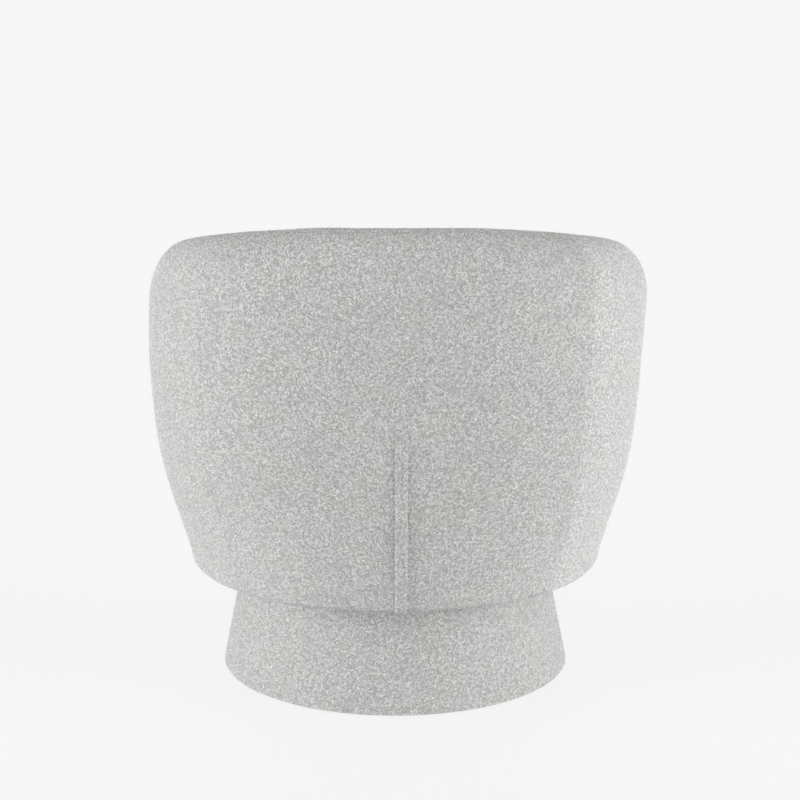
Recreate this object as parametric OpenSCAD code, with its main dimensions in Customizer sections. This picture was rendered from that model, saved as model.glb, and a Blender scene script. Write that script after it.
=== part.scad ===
// Upholstered tub chair that swivels on a round flared plinth.
// Millimetres, +Z up, the sitter faces -Y, origin on the floor under the swivel.

/* [Tub] */
// Width of the tub over its sides
body_w = 768; // [720:1:820]
// Depth of the tub, back to cushion front
body_d = 730; // [690:1:780]
// Height of the back rim above the floor
back_h = 756; // [720:1:800]
// Height of the rim at the arm fronts
arm_h = 637; // [600:1:660]
// Thickness of the padded wall
wall_t = 110; // [100:1:120]
// Height of the rounded rim above the straight wall
rim_rise = 84; // [60:1:95]
// Width of the tub's flat underside
foot_w = 644; // [600:1:670]
// Height of the tub's underside above the floor
foot_z = 181; // [170:1:200]
// Height at which the tub is widest
wide_z = 615; // [580:1:640]
// Reach of the side's upper bend
side_bend = 299; // [240:1:320]
// Reach of the underside's lower bend
foot_bend = 4; // [2:1:16]

/* [Seat] */
// Height of the deck under the cushion
deck_z = 287; // [280:1:300]
// Thickness of the cushion at its edge
cushion_t = 118; // [90:1:140]
// Rise of the cushion's crown above its edge
crown = 28; // [10:1:40]
// Depth by which the front panel stands back from the arms
panel_recess = 15; // [8:1:22]

/* [Plinth] */
// Width of the plinth on the floor
plinth_w = 553; // [520:1:600]
// Width of the plinth at its top
plinth_top_w = 482; // [440:1:500]
// Gap between the plinth and the tub
swivel_gap = 4; // [3:0.5:6]
// Height of the floor glides
glide_h = 3; // [2:0.5:8]

/* [Frame] */
// Thickness of the birch plywood
ply_t = 18; // [15:1:21]
// Thickness of the bent liner boards
liner_t = 3; // [2:0.5:4]
// Depth of a rib between the liners
rib_depth = 38; // [30:1:42]
// Width of the webbing
web_w = 60; // [40:5:70]
// Thickness of the webbing
web_t = 1.5; // [1:0.1:2]

/* [Cover] */
// Thickness of the looped-wool cover
cover_t = 2.5; // [2:0.1:3]
// Thickness of the fibre wadding
wadding_t = 8; // [6:0.5:10]
// Angle of the side seams from the centre of the back
side_seam_deg = 44; // [38:1:52]
// Width of the lapped strip over the zip
placket_w = 19; // [16:1:24]
// Height of the zip's upper end
zip_top_z = 470; // [420:1:520]

/* [Swivel] */
// Side of the square swivel plates
plate_w = 200; // [170:1:220]
// Thickness of a swivel plate
plate_t = 2.5; // [2:0.1:3]
// Diameter of the ball circle
race_w = 150; // [120:1:156]
// Diameter of a ball
ball_w = 8; // [6:0.5:9]
// Number of balls
ball_count = 24; // [12:1:36]

/* [Hidden] */
$fn = 96;

// Clearance between pieces that lie against each other
fit_gap = 0.3;
// Overrun of every cut
overrun = 1;
// Open width of a sewn seam
seam_gap = 0.8;

// Sizes of the small pieces
screw_r = 2.5;
screw_head_r = 4.5;
screw_head_h = 3;
pilot_play = 0.1;
pilot_r = screw_r + pilot_play;
rib_screw_l = 45;
rib_screw_r = 235;
plate_screw_l = 14;
plate_screw_x = 84;
plate_corner_r = 14;
race_rim_w = 7;
race_floor = 1;
race_gap = 0.9;
ball_play = 0.3;
cage_t = 1;
cage_play = 0.3;
pivot_r = 8;
pivot_play = 0.1;
pivot_lift = 0.3;
pivot_bore_r = 5;
pivot_flange_r = 14;
pivot_flange_t = 1.5;
board_hole_r = 30;
cloth_t = 0.6;
glide_count = 6;
glide_r = 14;
glide_taper = 3;
glide_nail_r = 2;
glide_nail_l = 14;
glide_ring_r = 230;
floor_ring_hole_r = 160;
plinth_edge = 6;
plinth_wall_t = 4;
plinth_post_w = 40;
plinth_post_r = 188;
post_count = 8;
seat_open_r = 215;
web_pitch = 88;
web_r = 252;
felt_t = 2.4;
felt_r = 230;
rail_in = 33;
rail_t = 26;
rail_h = 24;
front_step_share = 1.1;
zip_play = 0.4;
zip_fit = 0.15;
zip_edge = 1;
zip_foot = 6;
tape_t = 0.5;
coil_t = 0.8;
coil_w = 4;
slider_t = 0.4;
slider_w = 8;
slider_l = 12;
zip_room = zip_play + coil_t + zip_fit + slider_t + zip_play;
cushion_gap = 3;
cushion_roll = 16;
cushion_flare = 8;
corner_power = 9;
waist_power = 60;
edge_power = 0.75;
crown_power = 2.2;
border_deg = 25;

half_w = body_w / 2;
half_t = wall_t / 2;
foot_r = foot_w / 2;
// Powers of the plan outline: round at the foot, squarer above
foot_power = 2.15;
plan_power = 2.75;
// Share of the wall's height over which the plan changes
plan_change_share = 0.5;
// The rim falls between these angles from the centre of the back
rim_back_deg = 13;
rim_front_deg = 138;
// The arm front starts here and rounds off over the next degrees
arm_end_deg = 124;
nose_deg = 10;
nose_end_deg = arm_end_deg + nose_deg;
// Width of the cover turned under the base board
hem_w = 20;
// The inside covers' seams lie this much further round than the side seams
inside_seam_step_deg = 8;
inside_seam_deg = side_seam_deg + inside_seam_step_deg;
// The layers of the straight wall stop short of the rim's foam
rim_ease = 1;
// The rail lies this far above the ribs' tops
rail_ease = 0.8;

// Depths of the layers under the outer cover
wadding_d = cover_t + fit_gap;
outer_liner_d = wadding_d + wadding_t + fit_gap;
rib_d = outer_liner_d + liner_t + fit_gap;
// A rib's edges stand back so its corners clear the liners
rib_out_ease = 4.5;
rib_in_ease = 2.5;
// Depths of the layers under the inside cover
foam_d = cover_t + fit_gap;
inner_liner_d = wall_t - rib_d - rib_depth - rib_out_ease - rib_in_ease - liner_t - fit_gap;
foam_end_d = inner_liner_d - fit_gap;
front_foam_t = 18;
rim_foam_d = half_t / 2;

// Levels of the plinth and the swivel, from the floor up
plinth_h = foot_z - swivel_gap;
board_z = foot_z + cover_t + fit_gap;
base_top_z = board_z + ply_t;
swivel_h = 2 * (plate_t + race_floor + ball_play) + ball_w;
plinth_board_z = board_z - swivel_h - ply_t;
swivel_z = board_z - swivel_h;
ball_z = swivel_z + swivel_h / 2;

// Levels of the seat
web_z = deck_z - 2 * web_t - fit_gap - cover_t;
ring_z = web_z - ply_t;
foam_z = deck_z - cover_t;
cushion_mid_z = deck_z + fit_gap + cushion_t / 2;
core_d = cover_t + fit_gap;
floor_ring_z = glide_h + cover_t + fit_gap;
plinth_wall_d = wadding_d + wadding_t + fit_gap;
plinth_lip_r = plinth_top_w / 2 - plinth_wall_d - plinth_wall_t - 3 * fit_gap;

// Shades of the piece's own finishes
wool = [0.86, 0.85, 0.83];
fibre = [0.95, 0.95, 0.93];
foam = [0.93, 0.88, 0.72];
birch = [0.84, 0.72, 0.52];
board = [0.66, 0.52, 0.36];
steel = [0.62, 0.63, 0.65];
black = [0.12, 0.12, 0.13];

function clamp(u) = max(0, min(1, u));
function lerp(a, b, u) = a + (b - a) * u;
function steps(a, b, n) = [for (i = [0 : n]) lerp(a, b, i / n)];
function degrees_of(length, r) = length / r * 180 / PI;

// The outer profile: a cubic from the foot to the widest height, then upright
function side_r(t) = t >= 1 ? half_w
  : pow(1 - t, 3) * foot_r + 3 * pow(1 - t, 2) * t * (foot_r + foot_bend)
    + (3 * (1 - t) * t * t + pow(t, 3)) * half_w;
function side_z(t) = t >= 1 ? wide_z + 3 * side_bend * (t - 1)
  : (pow(1 - t, 3) + 3 * pow(1 - t, 2) * t) * foot_z
    + 3 * (1 - t) * t * t * (wide_z - side_bend) + pow(t, 3) * wide_z;
function side_slope(t) = t >= 1 ? [0, 1]
  : [3 * pow(1 - t, 2) * foot_bend + 6 * (1 - t) * t * (half_w - foot_r - foot_bend),
     6 * (1 - t) * t * (wide_z - side_bend - foot_z) + 3 * t * t * side_bend];
function side_in(t) = let(v = side_slope(t)) [-v[1], v[0]] / norm(v);
// How much longer a depth is along the level than square to the slanting side
function level(t) = -1 / side_in(t)[0];

// The plan outline: its radius as a share of the radius at the side
function squareness(z) =
  let(u = clamp((z - foot_z) / (plan_change_share * (wide_z - foot_z)))) u * u * (3 - 2 * u);
function plan(a, z) =
  let(u = squareness(z), n = lerp(foot_power, plan_power, u), q = lerp(1, body_d / body_w, u))
  pow(pow(abs(sin(a)), n) + pow(abs(cos(a)) / q, n), -1 / n);
function place(a, r, z) = let(p = r * plan(a, z)) [p * sin(a), p * cos(a), z];

// Height of the rim and of the straight wall under it
function rim_z(a) =
  let(u = clamp((abs(a) - rim_back_deg) / (rim_front_deg - rim_back_deg)))
  lerp(arm_h, back_h, (1 + cos(180 * u)) / 2);
function spring_z(a) = rim_z(a) - rim_rise;
// The profile's parameter at a height, found by halving
function t_at(z, low = 0, high = 2, n = 20) =
  n == 0 ? (low + high) / 2
  : let(mid = (low + high) / 2)
    side_z(mid) < z ? t_at(z, mid, high, n - 1) : t_at(z, low, mid, n - 1);
deck_t = t_at(foam_z);
// Up the outside, these shares of the path lie level with the base board and the deck
board_share = 0.25;
deck_share = 0.5;
board_t = t_at(base_top_z + fit_gap);
function rise_t(s, te) =
  lookup(s, [[0, 0], [board_share, board_t], [deck_share, deck_t], [1, te]]);
function rise_s(t, te) =
  lookup(t, [[0, 0], [board_t, board_share], [deck_t, deck_share], [te, 1]]);

// A column of the wall: its angle, its place round the arm front, its profile's end
function column(a, e = 0, drop = 0) = [a, e, t_at(spring_z(a + sin(e) * nose_deg) - drop)];
// A point of the wall at path s and depth d. The path goes under the foot (-1 to 0),
// up the outside (0 to 1), over the rim (1 to 2) and down the inside (2 to 3).
function wall_rz(s, c, te, d) =
  s < 0 ? [foot_r + s * hem_w - half_t * (1 - c), foot_z + d]
  : s <= 1 ? let(t = rise_t(s, te))
      [side_r(t) - half_t * (1 - c), side_z(t)]
      + d * (c * side_in(t) + (1 - c) * pow(1 - s, 4) * [0, 1])
  : s <= 2 ? let(a = 180 * (s - 1))
      [side_r(te) - half_t + (half_t - d) * c * cos(a), side_z(te) + (rim_rise - d) * c * sin(a)]
  : let(t = lerp(te, deck_t, s - 2))
      [side_r(t) - half_t * (1 + c) + d * c * level(t), side_z(t)];
function wall_point(col, s, d) =
  let(p = wall_rz(s, cos(col[1]), col[2], d))
  place(col[0] + sin(col[1]) * (nose_deg - degrees_of(d, p[0])), p[0], p[1]);

// The front panel between the arms: under the foot, up, over the edge, back on the deck
panel_edge_r = 22;
panel_land = 70;
panel_t = t_at(deck_z - panel_edge_r);
panel_board_s = board_t / panel_t;
function panel_rz(s, d) =
  s < 0 ? [foot_r - panel_recess + s * hem_w, foot_z + d]
  : s < panel_board_s ? let(t = panel_t * s)
      [side_r(t) - panel_recess, side_z(t)] + d * side_in(t)
  : s <= 1 ? let(t = panel_t * s) [side_r(t) - panel_recess - d * level(t), side_z(t)]
  : let(r = panel_edge_r, x = side_r(panel_t) - panel_recess - r, a = 90 * min(s - 1, 1))
    [x + (r - d) * cos(a) - panel_land * max(s - 2, 0), deck_z - r + (r - d) * sin(a)];
// The panel's cover ends where it meets the round arm front, and its padding past it
panel_gap = 1.5;
function panel_end_deg(s, p) =
  let(c = s < 0 ? 0 : clamp(1 - (side_r(t_at(p[1])) - p[0]) / half_t))
  arm_end_deg + nose_deg * sqrt(1 - c * c) + degrees_of(panel_gap, foot_r);
function panel_point(a, s, d) =
  let(p = panel_rz(s, d), end = panel_end_deg(s, p))
  place(max(end, min(a, 360 - end)), p[0], p[1]);
panel_side_deg = 1.5;
panel_first_deg = nose_end_deg + panel_side_deg;
panel_degs = steps(panel_first_deg, 360 - panel_first_deg, 13);

// A skin between two grids of points, [column][row], as one closed surface.
// closed joins the last column to the first; pole ends each grid in one middle point.
// Faces are split along their other diagonal before column turn, so halves match.
module skin(outer, inner, closed = false, pole = [], turn = 0) {
  n = len(outer);
  m = len(outer[0]);
  last = closed ? n - 1 : n - 2;
  top = n * m;
  function at(side, i, j) = side * top + (i % n) * m + j;
  points = concat([for (c = outer) each c], [for (c = inner) each c], pole);
  function halves(a, b, c, d, i) = i < turn ? [[a, b, d], [b, c, d]] : [[a, b, c], [a, c, d]];
  walls = [for (i = [0 : last], j = [0 : m - 2])
    each concat(
      halves(at(0, i, j), at(0, i + 1, j), at(0, i + 1, j + 1), at(0, i, j + 1), i),
      halves(at(1, i, j), at(1, i, j + 1), at(1, i + 1, j + 1), at(1, i + 1, j), i)
    )];
  feet = [for (i = [0 : last])
    each [
      [at(0, i, 0), at(1, i, 0), at(1, i + 1, 0)],
      [at(0, i, 0), at(1, i + 1, 0), at(0, i + 1, 0)]
    ]];
  heads = pole != [] ? [for (i = [0 : last])
      each [
        [at(0, i, m - 1), at(0, i + 1, m - 1), 2 * top],
        [at(1, i + 1, m - 1), at(1, i, m - 1), 2 * top + 1]
      ]]
    : [for (i = [0 : last])
      each [
        [at(0, i, m - 1), at(0, i + 1, m - 1), at(1, i + 1, m - 1)],
        [at(0, i, m - 1), at(1, i + 1, m - 1), at(1, i, m - 1)]
      ]];
  ends = closed ? [] : [for (j = [0 : m - 2])
    each [
      [at(0, 0, j), at(0, 0, j + 1), at(1, 0, j + 1)],
      [at(0, 0, j), at(1, 0, j + 1), at(1, 0, j)],
      [at(0, n - 1, j), at(1, n - 1, j), at(1, n - 1, j + 1)],
      [at(0, n - 1, j), at(1, n - 1, j + 1), at(0, n - 1, j + 1)]
    ]];
  polyhedron(points, concat(walls, feet, heads, ends));
}

module wall_sheet(cols, rows, d1, d2) {
  skin(
    [for (c = cols) [for (s = rows) wall_point(c, s, d1)]],
    [for (c = cols) [for (s = rows) wall_point(c, s, d2)]],
    turn = len([for (c = cols) if (c[0] < 0) c])
  );
}

module panel_sheet(degs, rows, d1, d2) {
  skin(
    [for (a = degs) [for (s = rows) panel_point(a, s, d1)]],
    [for (a = degs) [for (s = rows) panel_point(a, s, d2)]]
  );
}

// Every layer of the wall has its columns at the same angles, and its rows at the
// same places of the path, so that neighbouring layers lie parallel
half_degs = concat(steps(0, side_seam_deg, 5), steps(inside_seam_deg, arm_end_deg, 7));
all_degs = concat([for (i = [len(half_degs) - 1 : -1 : 1]) -half_degs[i]], half_degs);
seam_half_deg = degrees_of(seam_gap / 2, half_w);
end_deg = arm_end_deg - seam_half_deg;
function wall_columns(a, b, drop = 0) =
  let(between = [for (x = all_degs) if (x > a + seam_half_deg && x < b - seam_half_deg) x])
  [for (x = concat([a], between, [b])) column(x, 0, drop)];
nose_turn_degs = [14, 28, 42, 56, 68, 79, 89.5];
nose_columns = [for (e = nose_turn_degs) column(arm_end_deg, e)];
// The cover's seam lies past the rim's crest, out of sight from behind
rim_seam_s = 1.66;
rim_seam_gap_s = 0.006;
rise_rows = steps(0, 1, 8);
rim_rows = concat(steps(1, rim_seam_s, 6), steps(lerp(rim_seam_s, 2, 1 / 3), 2, 2));
fall_rows = steps(2, 3, 3);
outside_rows = concat([-1], rise_rows, [for (s = rim_rows) if (s > 1 && s <= rim_seam_s) s]);
inside_rows = concat(
  [rim_seam_s + rim_seam_gap_s], [for (s = rim_rows) if (s > rim_seam_s) s],
  [for (s = fall_rows) if (s > 2) s]
);

module back_cover() {
  wall_sheet(wall_columns(seam_half_deg, side_seam_deg - seam_half_deg), outside_rows, 0, cover_t);
}

module side_cover() {
  cols = concat(wall_columns(side_seam_deg + seam_half_deg, arm_end_deg), nose_columns);
  wall_sheet(cols, outside_rows, 0, cover_t);
}

module inside_arm_cover() {
  cols = concat(wall_columns(inside_seam_deg + seam_half_deg, arm_end_deg), nose_columns);
  wall_sheet(cols, inside_rows, 0, cover_t);
}

module inside_back_cover() color(wool)
  wall_sheet(
    wall_columns(seam_half_deg - inside_seam_deg, inside_seam_deg - seam_half_deg),
    inside_rows, 0, cover_t
  );

module back_cover_left() color(wool) back_cover();
module back_cover_right() color(wool) mirror([1, 0, 0]) back_cover();
module side_cover_left() color(wool) side_cover();
module side_cover_right() color(wool) mirror([1, 0, 0]) side_cover();
module inside_arm_cover_left() color(wool) inside_arm_cover();
module inside_arm_cover_right() color(wool) mirror([1, 0, 0]) inside_arm_cover();

panel_rise_rows = steps(panel_board_s, 1, 2);
panel_edge_rows = [1.33, 1.67, 2];
module front_cover() color(wool)
  panel_sheet(
    concat([0], panel_degs, [360]),
    concat([-1, 0, panel_board_s / 2], panel_rise_rows, panel_edge_rows, [3]),
    0, cover_t
  );

// Paddings
module outer_wadding() color(fibre)
  wall_sheet(
    wall_columns(-end_deg, end_deg, rim_ease), [for (s = rise_rows) if (s > 0) s],
    wadding_d, outer_liner_d - fit_gap
  );

module inside_foam(a, b) {
  wall_sheet(wall_columns(a, b, rim_ease), fall_rows, foam_d, foam_end_d);
}
module back_foam() color(foam)
  inside_foam(seam_half_deg - inside_seam_deg, inside_seam_deg - seam_half_deg);
module arm_foam() {
  inside_foam(inside_seam_deg + seam_half_deg, end_deg);
}
module arm_foam_left() color(foam) arm_foam();
module arm_foam_right() color(foam) mirror([1, 0, 0]) arm_foam();

module rim_foam() color(foam)
  wall_sheet(wall_columns(-end_deg, end_deg), rim_rows, foam_d, rim_foam_d);

// The arm front is one block of foam above the deck, and a sheet of foam below it
module arm_front_foam() {
  cols = concat([column(arm_end_deg + seam_half_deg)], nose_columns);
  low_rows = [for (s = rise_rows) if (s >= board_share && s <= deck_share) s];
  outer_rows = concat([for (s = rise_rows) if (s > deck_share) s], [for (i = [1 : 4]) rim_rows[i]]);
  inner_rows = concat([for (i = [0 : 3]) fall_rows[3 - i]], [for (i = [1 : 4]) rim_rows[9 - i]]);
  skin(
    [for (c = cols) [for (s = concat(low_rows, outer_rows)) wall_point(c, s, foam_d)]],
    [for (c = cols) concat(
      [for (s = low_rows) wall_point(c, s, foam_d + front_foam_t)],
      [for (s = inner_rows) wall_point(c, s, foam_d)]
    )]
  );
}
module arm_front_foam_left() color(foam) arm_front_foam();
module arm_front_foam_right() color(foam) mirror([1, 0, 0]) arm_front_foam();

front_liner_d = foam_d + front_foam_t + fit_gap;
module front_foam() color(foam)
  panel_sheet(
    panel_degs, concat(panel_rise_rows, panel_edge_rows),
    foam_d, foam_d + front_foam_t
  );
module front_liner() color(board)
  panel_sheet(panel_degs, panel_rise_rows, front_liner_d, front_liner_d + liner_t);

module outer_liner() color(board)
  wall_sheet(
    wall_columns(-end_deg, end_deg, rim_ease), [for (s = rise_rows) if (s >= board_share) s],
    outer_liner_d, outer_liner_d + liner_t
  );
module inner_liner() color(board)
  wall_sheet(
    wall_columns(-end_deg, end_deg, rim_ease), fall_rows,
    inner_liner_d, inner_liner_d + liner_t
  );

// Frame
post_deg = 121;
post_half_deg = degrees_of(ply_t / 2, half_w - half_t);
rib_step_deg = 27;
rib_foot_r = 205;
base_board_r = foot_r - panel_recess - cover_t - fit_gap;

// A rib's inner edge at a place of the profile; its shoulder carries the seat ring
function rib_inner_r(t) = side_r(t) - wall_t + (inner_liner_d + liner_t + rib_in_ease) * level(t);
shoulder_r = rib_inner_r(deck_t);
seat_ring_r = shoulder_r - rib_in_ease;
// Past the arm posts the ring is smaller, to clear the foam of the arm fronts
front_ring_r = side_r(t_at(ring_z)) - half_t - foam_d - front_foam_t;
function rail_face(a, x) =
  let(r = side_r(t_at(spring_z(a))) - x)
  [place(a, r, spring_z(a)), place(a, r, spring_z(a) + rail_h)];

// A rib's outline in its own plane: up the outside, down the inside, out to the foot
function rib_outline(a) =
  let(
    te = t_at(spring_z(abs(a) + post_half_deg) - rail_ease),
    t0 = t_at(base_top_z),
    outside = [for (t = steps(t0, te, 12))
      let(p = [side_r(t), side_z(t)] + (rib_d + rib_out_ease) * side_in(t))
      [p[0] * plan(a, p[1]), p[1]]],
    top = outside[len(outside) - 1][1],
    inside = [for (t = steps(te, deck_t, 8))
      [rib_inner_r(t) * plan(a, side_z(t)), min(side_z(t), top)]],
    shoulder_x = shoulder_r * plan(a, foam_z)
  )
  concat(
    [[outside[0][0], base_top_z]],
    [for (p = outside) if (p[1] > base_top_z + fit_gap) p],
    [for (p = inside) if (p[1] > ring_z + ply_t + fit_gap) p],
    [[shoulder_x, ring_z], [rib_foot_r, ring_z], [rib_foot_r, base_top_z]]
  );

// A front rib's outline follows the front liner's flat faces up to the seat ring,
// read at both faces of the board, so that neither corner touches the liner
function flat_plan(a, z) =
  let(
    i = max([for (k = [0 : len(panel_degs) - 2]) if (panel_degs[k] <= a) k]),
    a1 = panel_degs[i], a2 = panel_degs[i + 1],
    p1 = plan(a1, z), p2 = plan(a2, z)
  )
  p1 * p2 * sin(a2 - a1) / (p1 * sin(a - a1) + p2 * sin(a2 - a));
function front_rib_outline(a) =
  let(
    d = panel_recess + front_liner_d + liner_t + fit_gap + rib_in_ease,
    edge = [for (s = panel_rise_rows)
      let(
        t = panel_t * s, r = side_r(t) - d, z = side_z(t),
        half_deg = degrees_of(ply_t / 2, r)
      )
      [z, r * min(flat_plan(a - half_deg, z), flat_plan(a + half_deg, z))]]
  )
  concat(
    [for (z = [base_top_z, edge[1][0], ring_z]) [lookup(z, edge), z]],
    [[rib_foot_r, ring_z], [rib_foot_r, base_top_z]]
  );

module rib(a, outline) {
  rotate([0, 0, 90 - a])
    rotate([90, 0, 0])
      translate([0, 0, -ply_t / 2])
        linear_extrude(ply_t) polygon(outline);
}

// A wood screw that points up, its head's underside at the origin
module screw(length) {
  cylinder(h = length, r = screw_r);
  translate([0, 0, -screw_head_h]) cylinder(h = screw_head_h, r = screw_head_r);
}

module at_angle(a, r, z) {
  translate([r * sin(a), r * cos(a), z]) children();
}

// Every upright of the frame takes one screw through the base board
back_rib_degs = [for (i = [-4 : 4]) i * rib_step_deg];
post_degs = [-post_deg, post_deg];
front_rib_degs = [for (i = [-1 : 1]) 180 + i * rib_step_deg * front_step_share];
upright_degs = concat(back_rib_degs, post_degs, front_rib_degs);

module rib_holes(degs) {
  for (a = degs)
    at_angle(a, rib_screw_r, board_z - overrun)
      cylinder(h = rib_screw_l + 2 * overrun, r = pilot_r);
}

module back_ribs() color(birch)
  difference() {
    union() for (a = back_rib_degs) rib(a, rib_outline(a));
    rib_holes(back_rib_degs);
  }

module arm_posts() color(birch)
  difference() {
    union() for (a = post_degs) rib(a, rib_outline(a));
    rib_holes(post_degs);
  }

module front_ribs() color(birch)
  difference() {
    union() for (a = front_rib_degs) rib(a, front_rib_outline(a));
    rib_holes(front_rib_degs);
  }

module rib_screws() color(steel)
  for (a = upright_degs)
    at_angle(a, rib_screw_r, board_z + screw_head_h) screw(rib_screw_l - screw_head_h);

// A flat outline with one radius from arm to arm round the back, one at the front
// and one at the arm fronts
module board_area(r, front_r, nose_r, z) {
  polygon([for (a = [0 : 5 : 355])
    let(
      turn = min(a, 360 - a),
      past = turn > post_deg ? front_r : r,
      p = place(a, abs(turn - nose_end_deg) < nose_deg / 2 ? nose_r : past, z)
    )
    [p[0], p[1]]]);
}

module tub_base_board() color(birch)
  difference() {
    translate([0, 0, board_z]) linear_extrude(ply_t)
      board_area(base_board_r, base_board_r, foot_r - half_t - fit_gap, foot_z);
    translate([0, 0, board_z - overrun]) cylinder(h = ply_t + 2 * overrun, r = board_hole_r);
    plate_screw_places() translate([0, 0, board_z - overrun])
      cylinder(h = plate_screw_l + overrun, r = pilot_r);
    rib_holes(upright_degs);
    for (a = upright_degs)
      at_angle(a, rib_screw_r, board_z - overrun)
        cylinder(h = screw_head_h + fit_gap + overrun, r = screw_head_r + fit_gap);
  }

module tub_dust_cloth() color(black)
  translate([0, 0, foot_z - fit_gap - cloth_t])
    linear_extrude(cloth_t) difference() {
      circle(r = foot_r - hem_w);
      circle(r = plate_w / sqrt(2) + overrun);
    }

module seat_ring() color(birch)
  translate([0, 0, ring_z]) linear_extrude(ply_t) difference() {
    board_area(seat_ring_r, front_ring_r, front_ring_r, foam_z);
    circle(r = seat_open_r);
  }

module top_rail() color(birch)
  skin(
    [for (c = wall_columns(-post_deg, post_deg)) rail_face(c[0], rail_in)],
    [for (c = wall_columns(-post_deg, post_deg)) rail_face(c[0], rail_in + rail_t)]
  );

// Straps of webbing run from side to side of the seat ring
module straps(places) {
  for (x = places) {
    l = sqrt(pow(web_r, 2) - pow(abs(x) + web_w / 2, 2));
    translate([x - web_w / 2, -l, 0]) cube([web_w, 2 * l, web_t]);
  }
}

module seat_webbing_long() color(black)
  translate([0, 0, web_z]) straps([for (i = [-2 : 2]) i * web_pitch]);

module seat_webbing_cross() color(black)
  translate([0, 0, web_z + web_t]) rotate([0, 0, 90]) straps([for (i = [-1.5 : 1.5]) i * web_pitch]);

module seat_felt() color(board)
  translate([0, 0, web_z + 2 * web_t]) cylinder(h = felt_t, r = felt_r);

// Zip under a lapped strip, low in the seam at the centre of the back
function zip_columns(from_w, to_w) =
  [for (w = [from_w, to_w]) column(-degrees_of(w, half_w * body_d / body_w))];
// Its pieces lie flat on the cover, on the straight runs between the cover's rows
back_rows_z = [for (s = rise_rows) side_z(rise_t(s, column(0)[2]))];
function zip_levels(low_z, high_z) =
  concat([low_z], [for (z = back_rows_z) if (z > low_z && z < high_z) z], [high_z]);
function zip_point(col, z, d) =
  let(
    i = max([for (k = [0 : len(back_rows_z) - 2]) if (back_rows_z[k] <= z) k]),
    share = (z - back_rows_z[i]) / (back_rows_z[i + 1] - back_rows_z[i])
  )
  lerp(wall_point(col, rise_rows[i], d), wall_point(col, rise_rows[i + 1], d), share);
module zip_sheet(from_w, to_w, levels, d1, d2) {
  cols = zip_columns(to_w, from_w);
  skin(
    [for (c = cols) [for (z = levels) zip_point(c, z, d1)]],
    [for (c = cols) [for (z = levels) zip_point(c, z, d2)]],
    turn = len(cols)
  );
}
tape_levels = zip_levels(foot_z + zip_foot, zip_top_z - zip_foot);
slider_z = foot_z + 2 * zip_foot;
coil_low_w = (placket_w - coil_w) / 2;
coil_high_w = (placket_w + coil_w) / 2;

module zip_tapes() color(fibre) {
  zip_sheet(zip_edge, coil_low_w - zip_play, tape_levels, -zip_play - tape_t, -zip_play);
  zip_sheet(
    coil_high_w + zip_play, placket_w - zip_edge, tape_levels, -zip_play - tape_t, -zip_play
  );
}

module zip_coil() color(fibre)
  zip_sheet(coil_low_w, coil_high_w, tape_levels, -zip_play - coil_t, -zip_play);

module zip_slider() color(steel)
  zip_sheet(
    (placket_w - slider_w) / 2, (placket_w + slider_w) / 2,
    zip_levels(slider_z, slider_z + slider_l),
    -zip_play - coil_t - zip_fit - slider_t, -zip_play - coil_t - zip_fit
  );

module zip_placket() color(wool)
  zip_sheet(
    0, placket_w, zip_levels(foot_z + fit_gap, zip_top_z),
    -zip_room - cover_t, -zip_room
  );

// Cushion: its outline hugs the arms and their fronts, and swells forward between them
function mean_of(a, b, power) = pow(pow(a, power) + pow(b, power), 1 / power);
cushion_front = body_d / 2 + cushion_roll * (1 - pow(cos(border_deg), edge_power));
waist_e = 30;
waist_deg = arm_end_deg + nose_deg * sin(waist_e);
function cushion_r(a, z) =
  let(
    turn = a > 180 ? 360 - a : a,
    r = side_r(t_at(z)) - cushion_gap,
    inside = (r - wall_t) * plan(turn, z),
    waist_x = (r - half_t * (1 + cos(waist_e)) - cushion_gap) * plan(waist_deg, z) * sin(waist_deg),
    side_x = waist_x + cushion_flare * clamp((turn - waist_deg) / nose_deg),
    front = cushion_front * plan(turn, z) / plan(180, z),
    side = turn < 90 ? inside
      : mean_of(inside, side_x / max(sin(turn), side_x / (2 * front)), waist_power)
  )
  mean_of(side, front, -corner_power);
cushion_half_degs = [0, 11, 22, 33, 44, 55, 66, 77, 88, 99, 110, 118, 124, 129, 134, 140, 147, 155, 163, 172];
cushion_degs = concat(cushion_half_degs, [180], [for (i = [19 : -1 : 1]) 360 - cushion_half_degs[i]]);

// A point of the cushion: f from -90 at its lower edge to 90 at its upper edge
function cushion_edge(a, f, d) =
  let(
    z = cushion_mid_z + sign(f) * pow(abs(sin(f)), edge_power) * cushion_t / 2,
    r = cushion_r(a, z) - cushion_roll * (1 - pow(cos(f), edge_power)) - d * cos(f)
  )
  [r * sin(a), r * cos(a), z - d * sin(f)];
function cushion_face(a, share, d, top) =
  let(p = cushion_edge(a, top ? 90 : -90, d))
  [share * p[0], share * p[1], p[2] + (top ? crown * (1 - pow(share, crown_power)) : 0)];
function cushion_rows(a, edges, shares, d, top) = concat(
  [for (f = edges) cushion_edge(a, f, d)], [for (s = shares) cushion_face(a, s, d, top)]
);
function cushion_grid(edges, shares, d, top) =
  [for (a = cushion_degs) cushion_rows(a, edges, shares, d, top)];
cushion_top_z = cushion_mid_z + cushion_t / 2 + crown;
cushion_low_z = cushion_mid_z - cushion_t / 2;
top_shares = [0.88, 0.7, 0.48, 0.24];
under_shares = [0.97, 0.95, 0.9, 0.85, 0.8, 0.7, 0.6, 0.5, 0.4, 0.24];
under_cover_shares = [0.5];
edge_degs = [64, 78, 90];
border_degs = [-62, -border_deg, border_deg, 62];

module cushion_core() color(foam)
  skin(
    cushion_grid(concat([-90], border_degs, [90]), top_shares, core_d, true),
    cushion_grid([], under_shares, core_d, false),
    closed = true, pole = [[0, 0, cushion_top_z - core_d], [0, 0, cushion_low_z + core_d]]
  );

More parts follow.
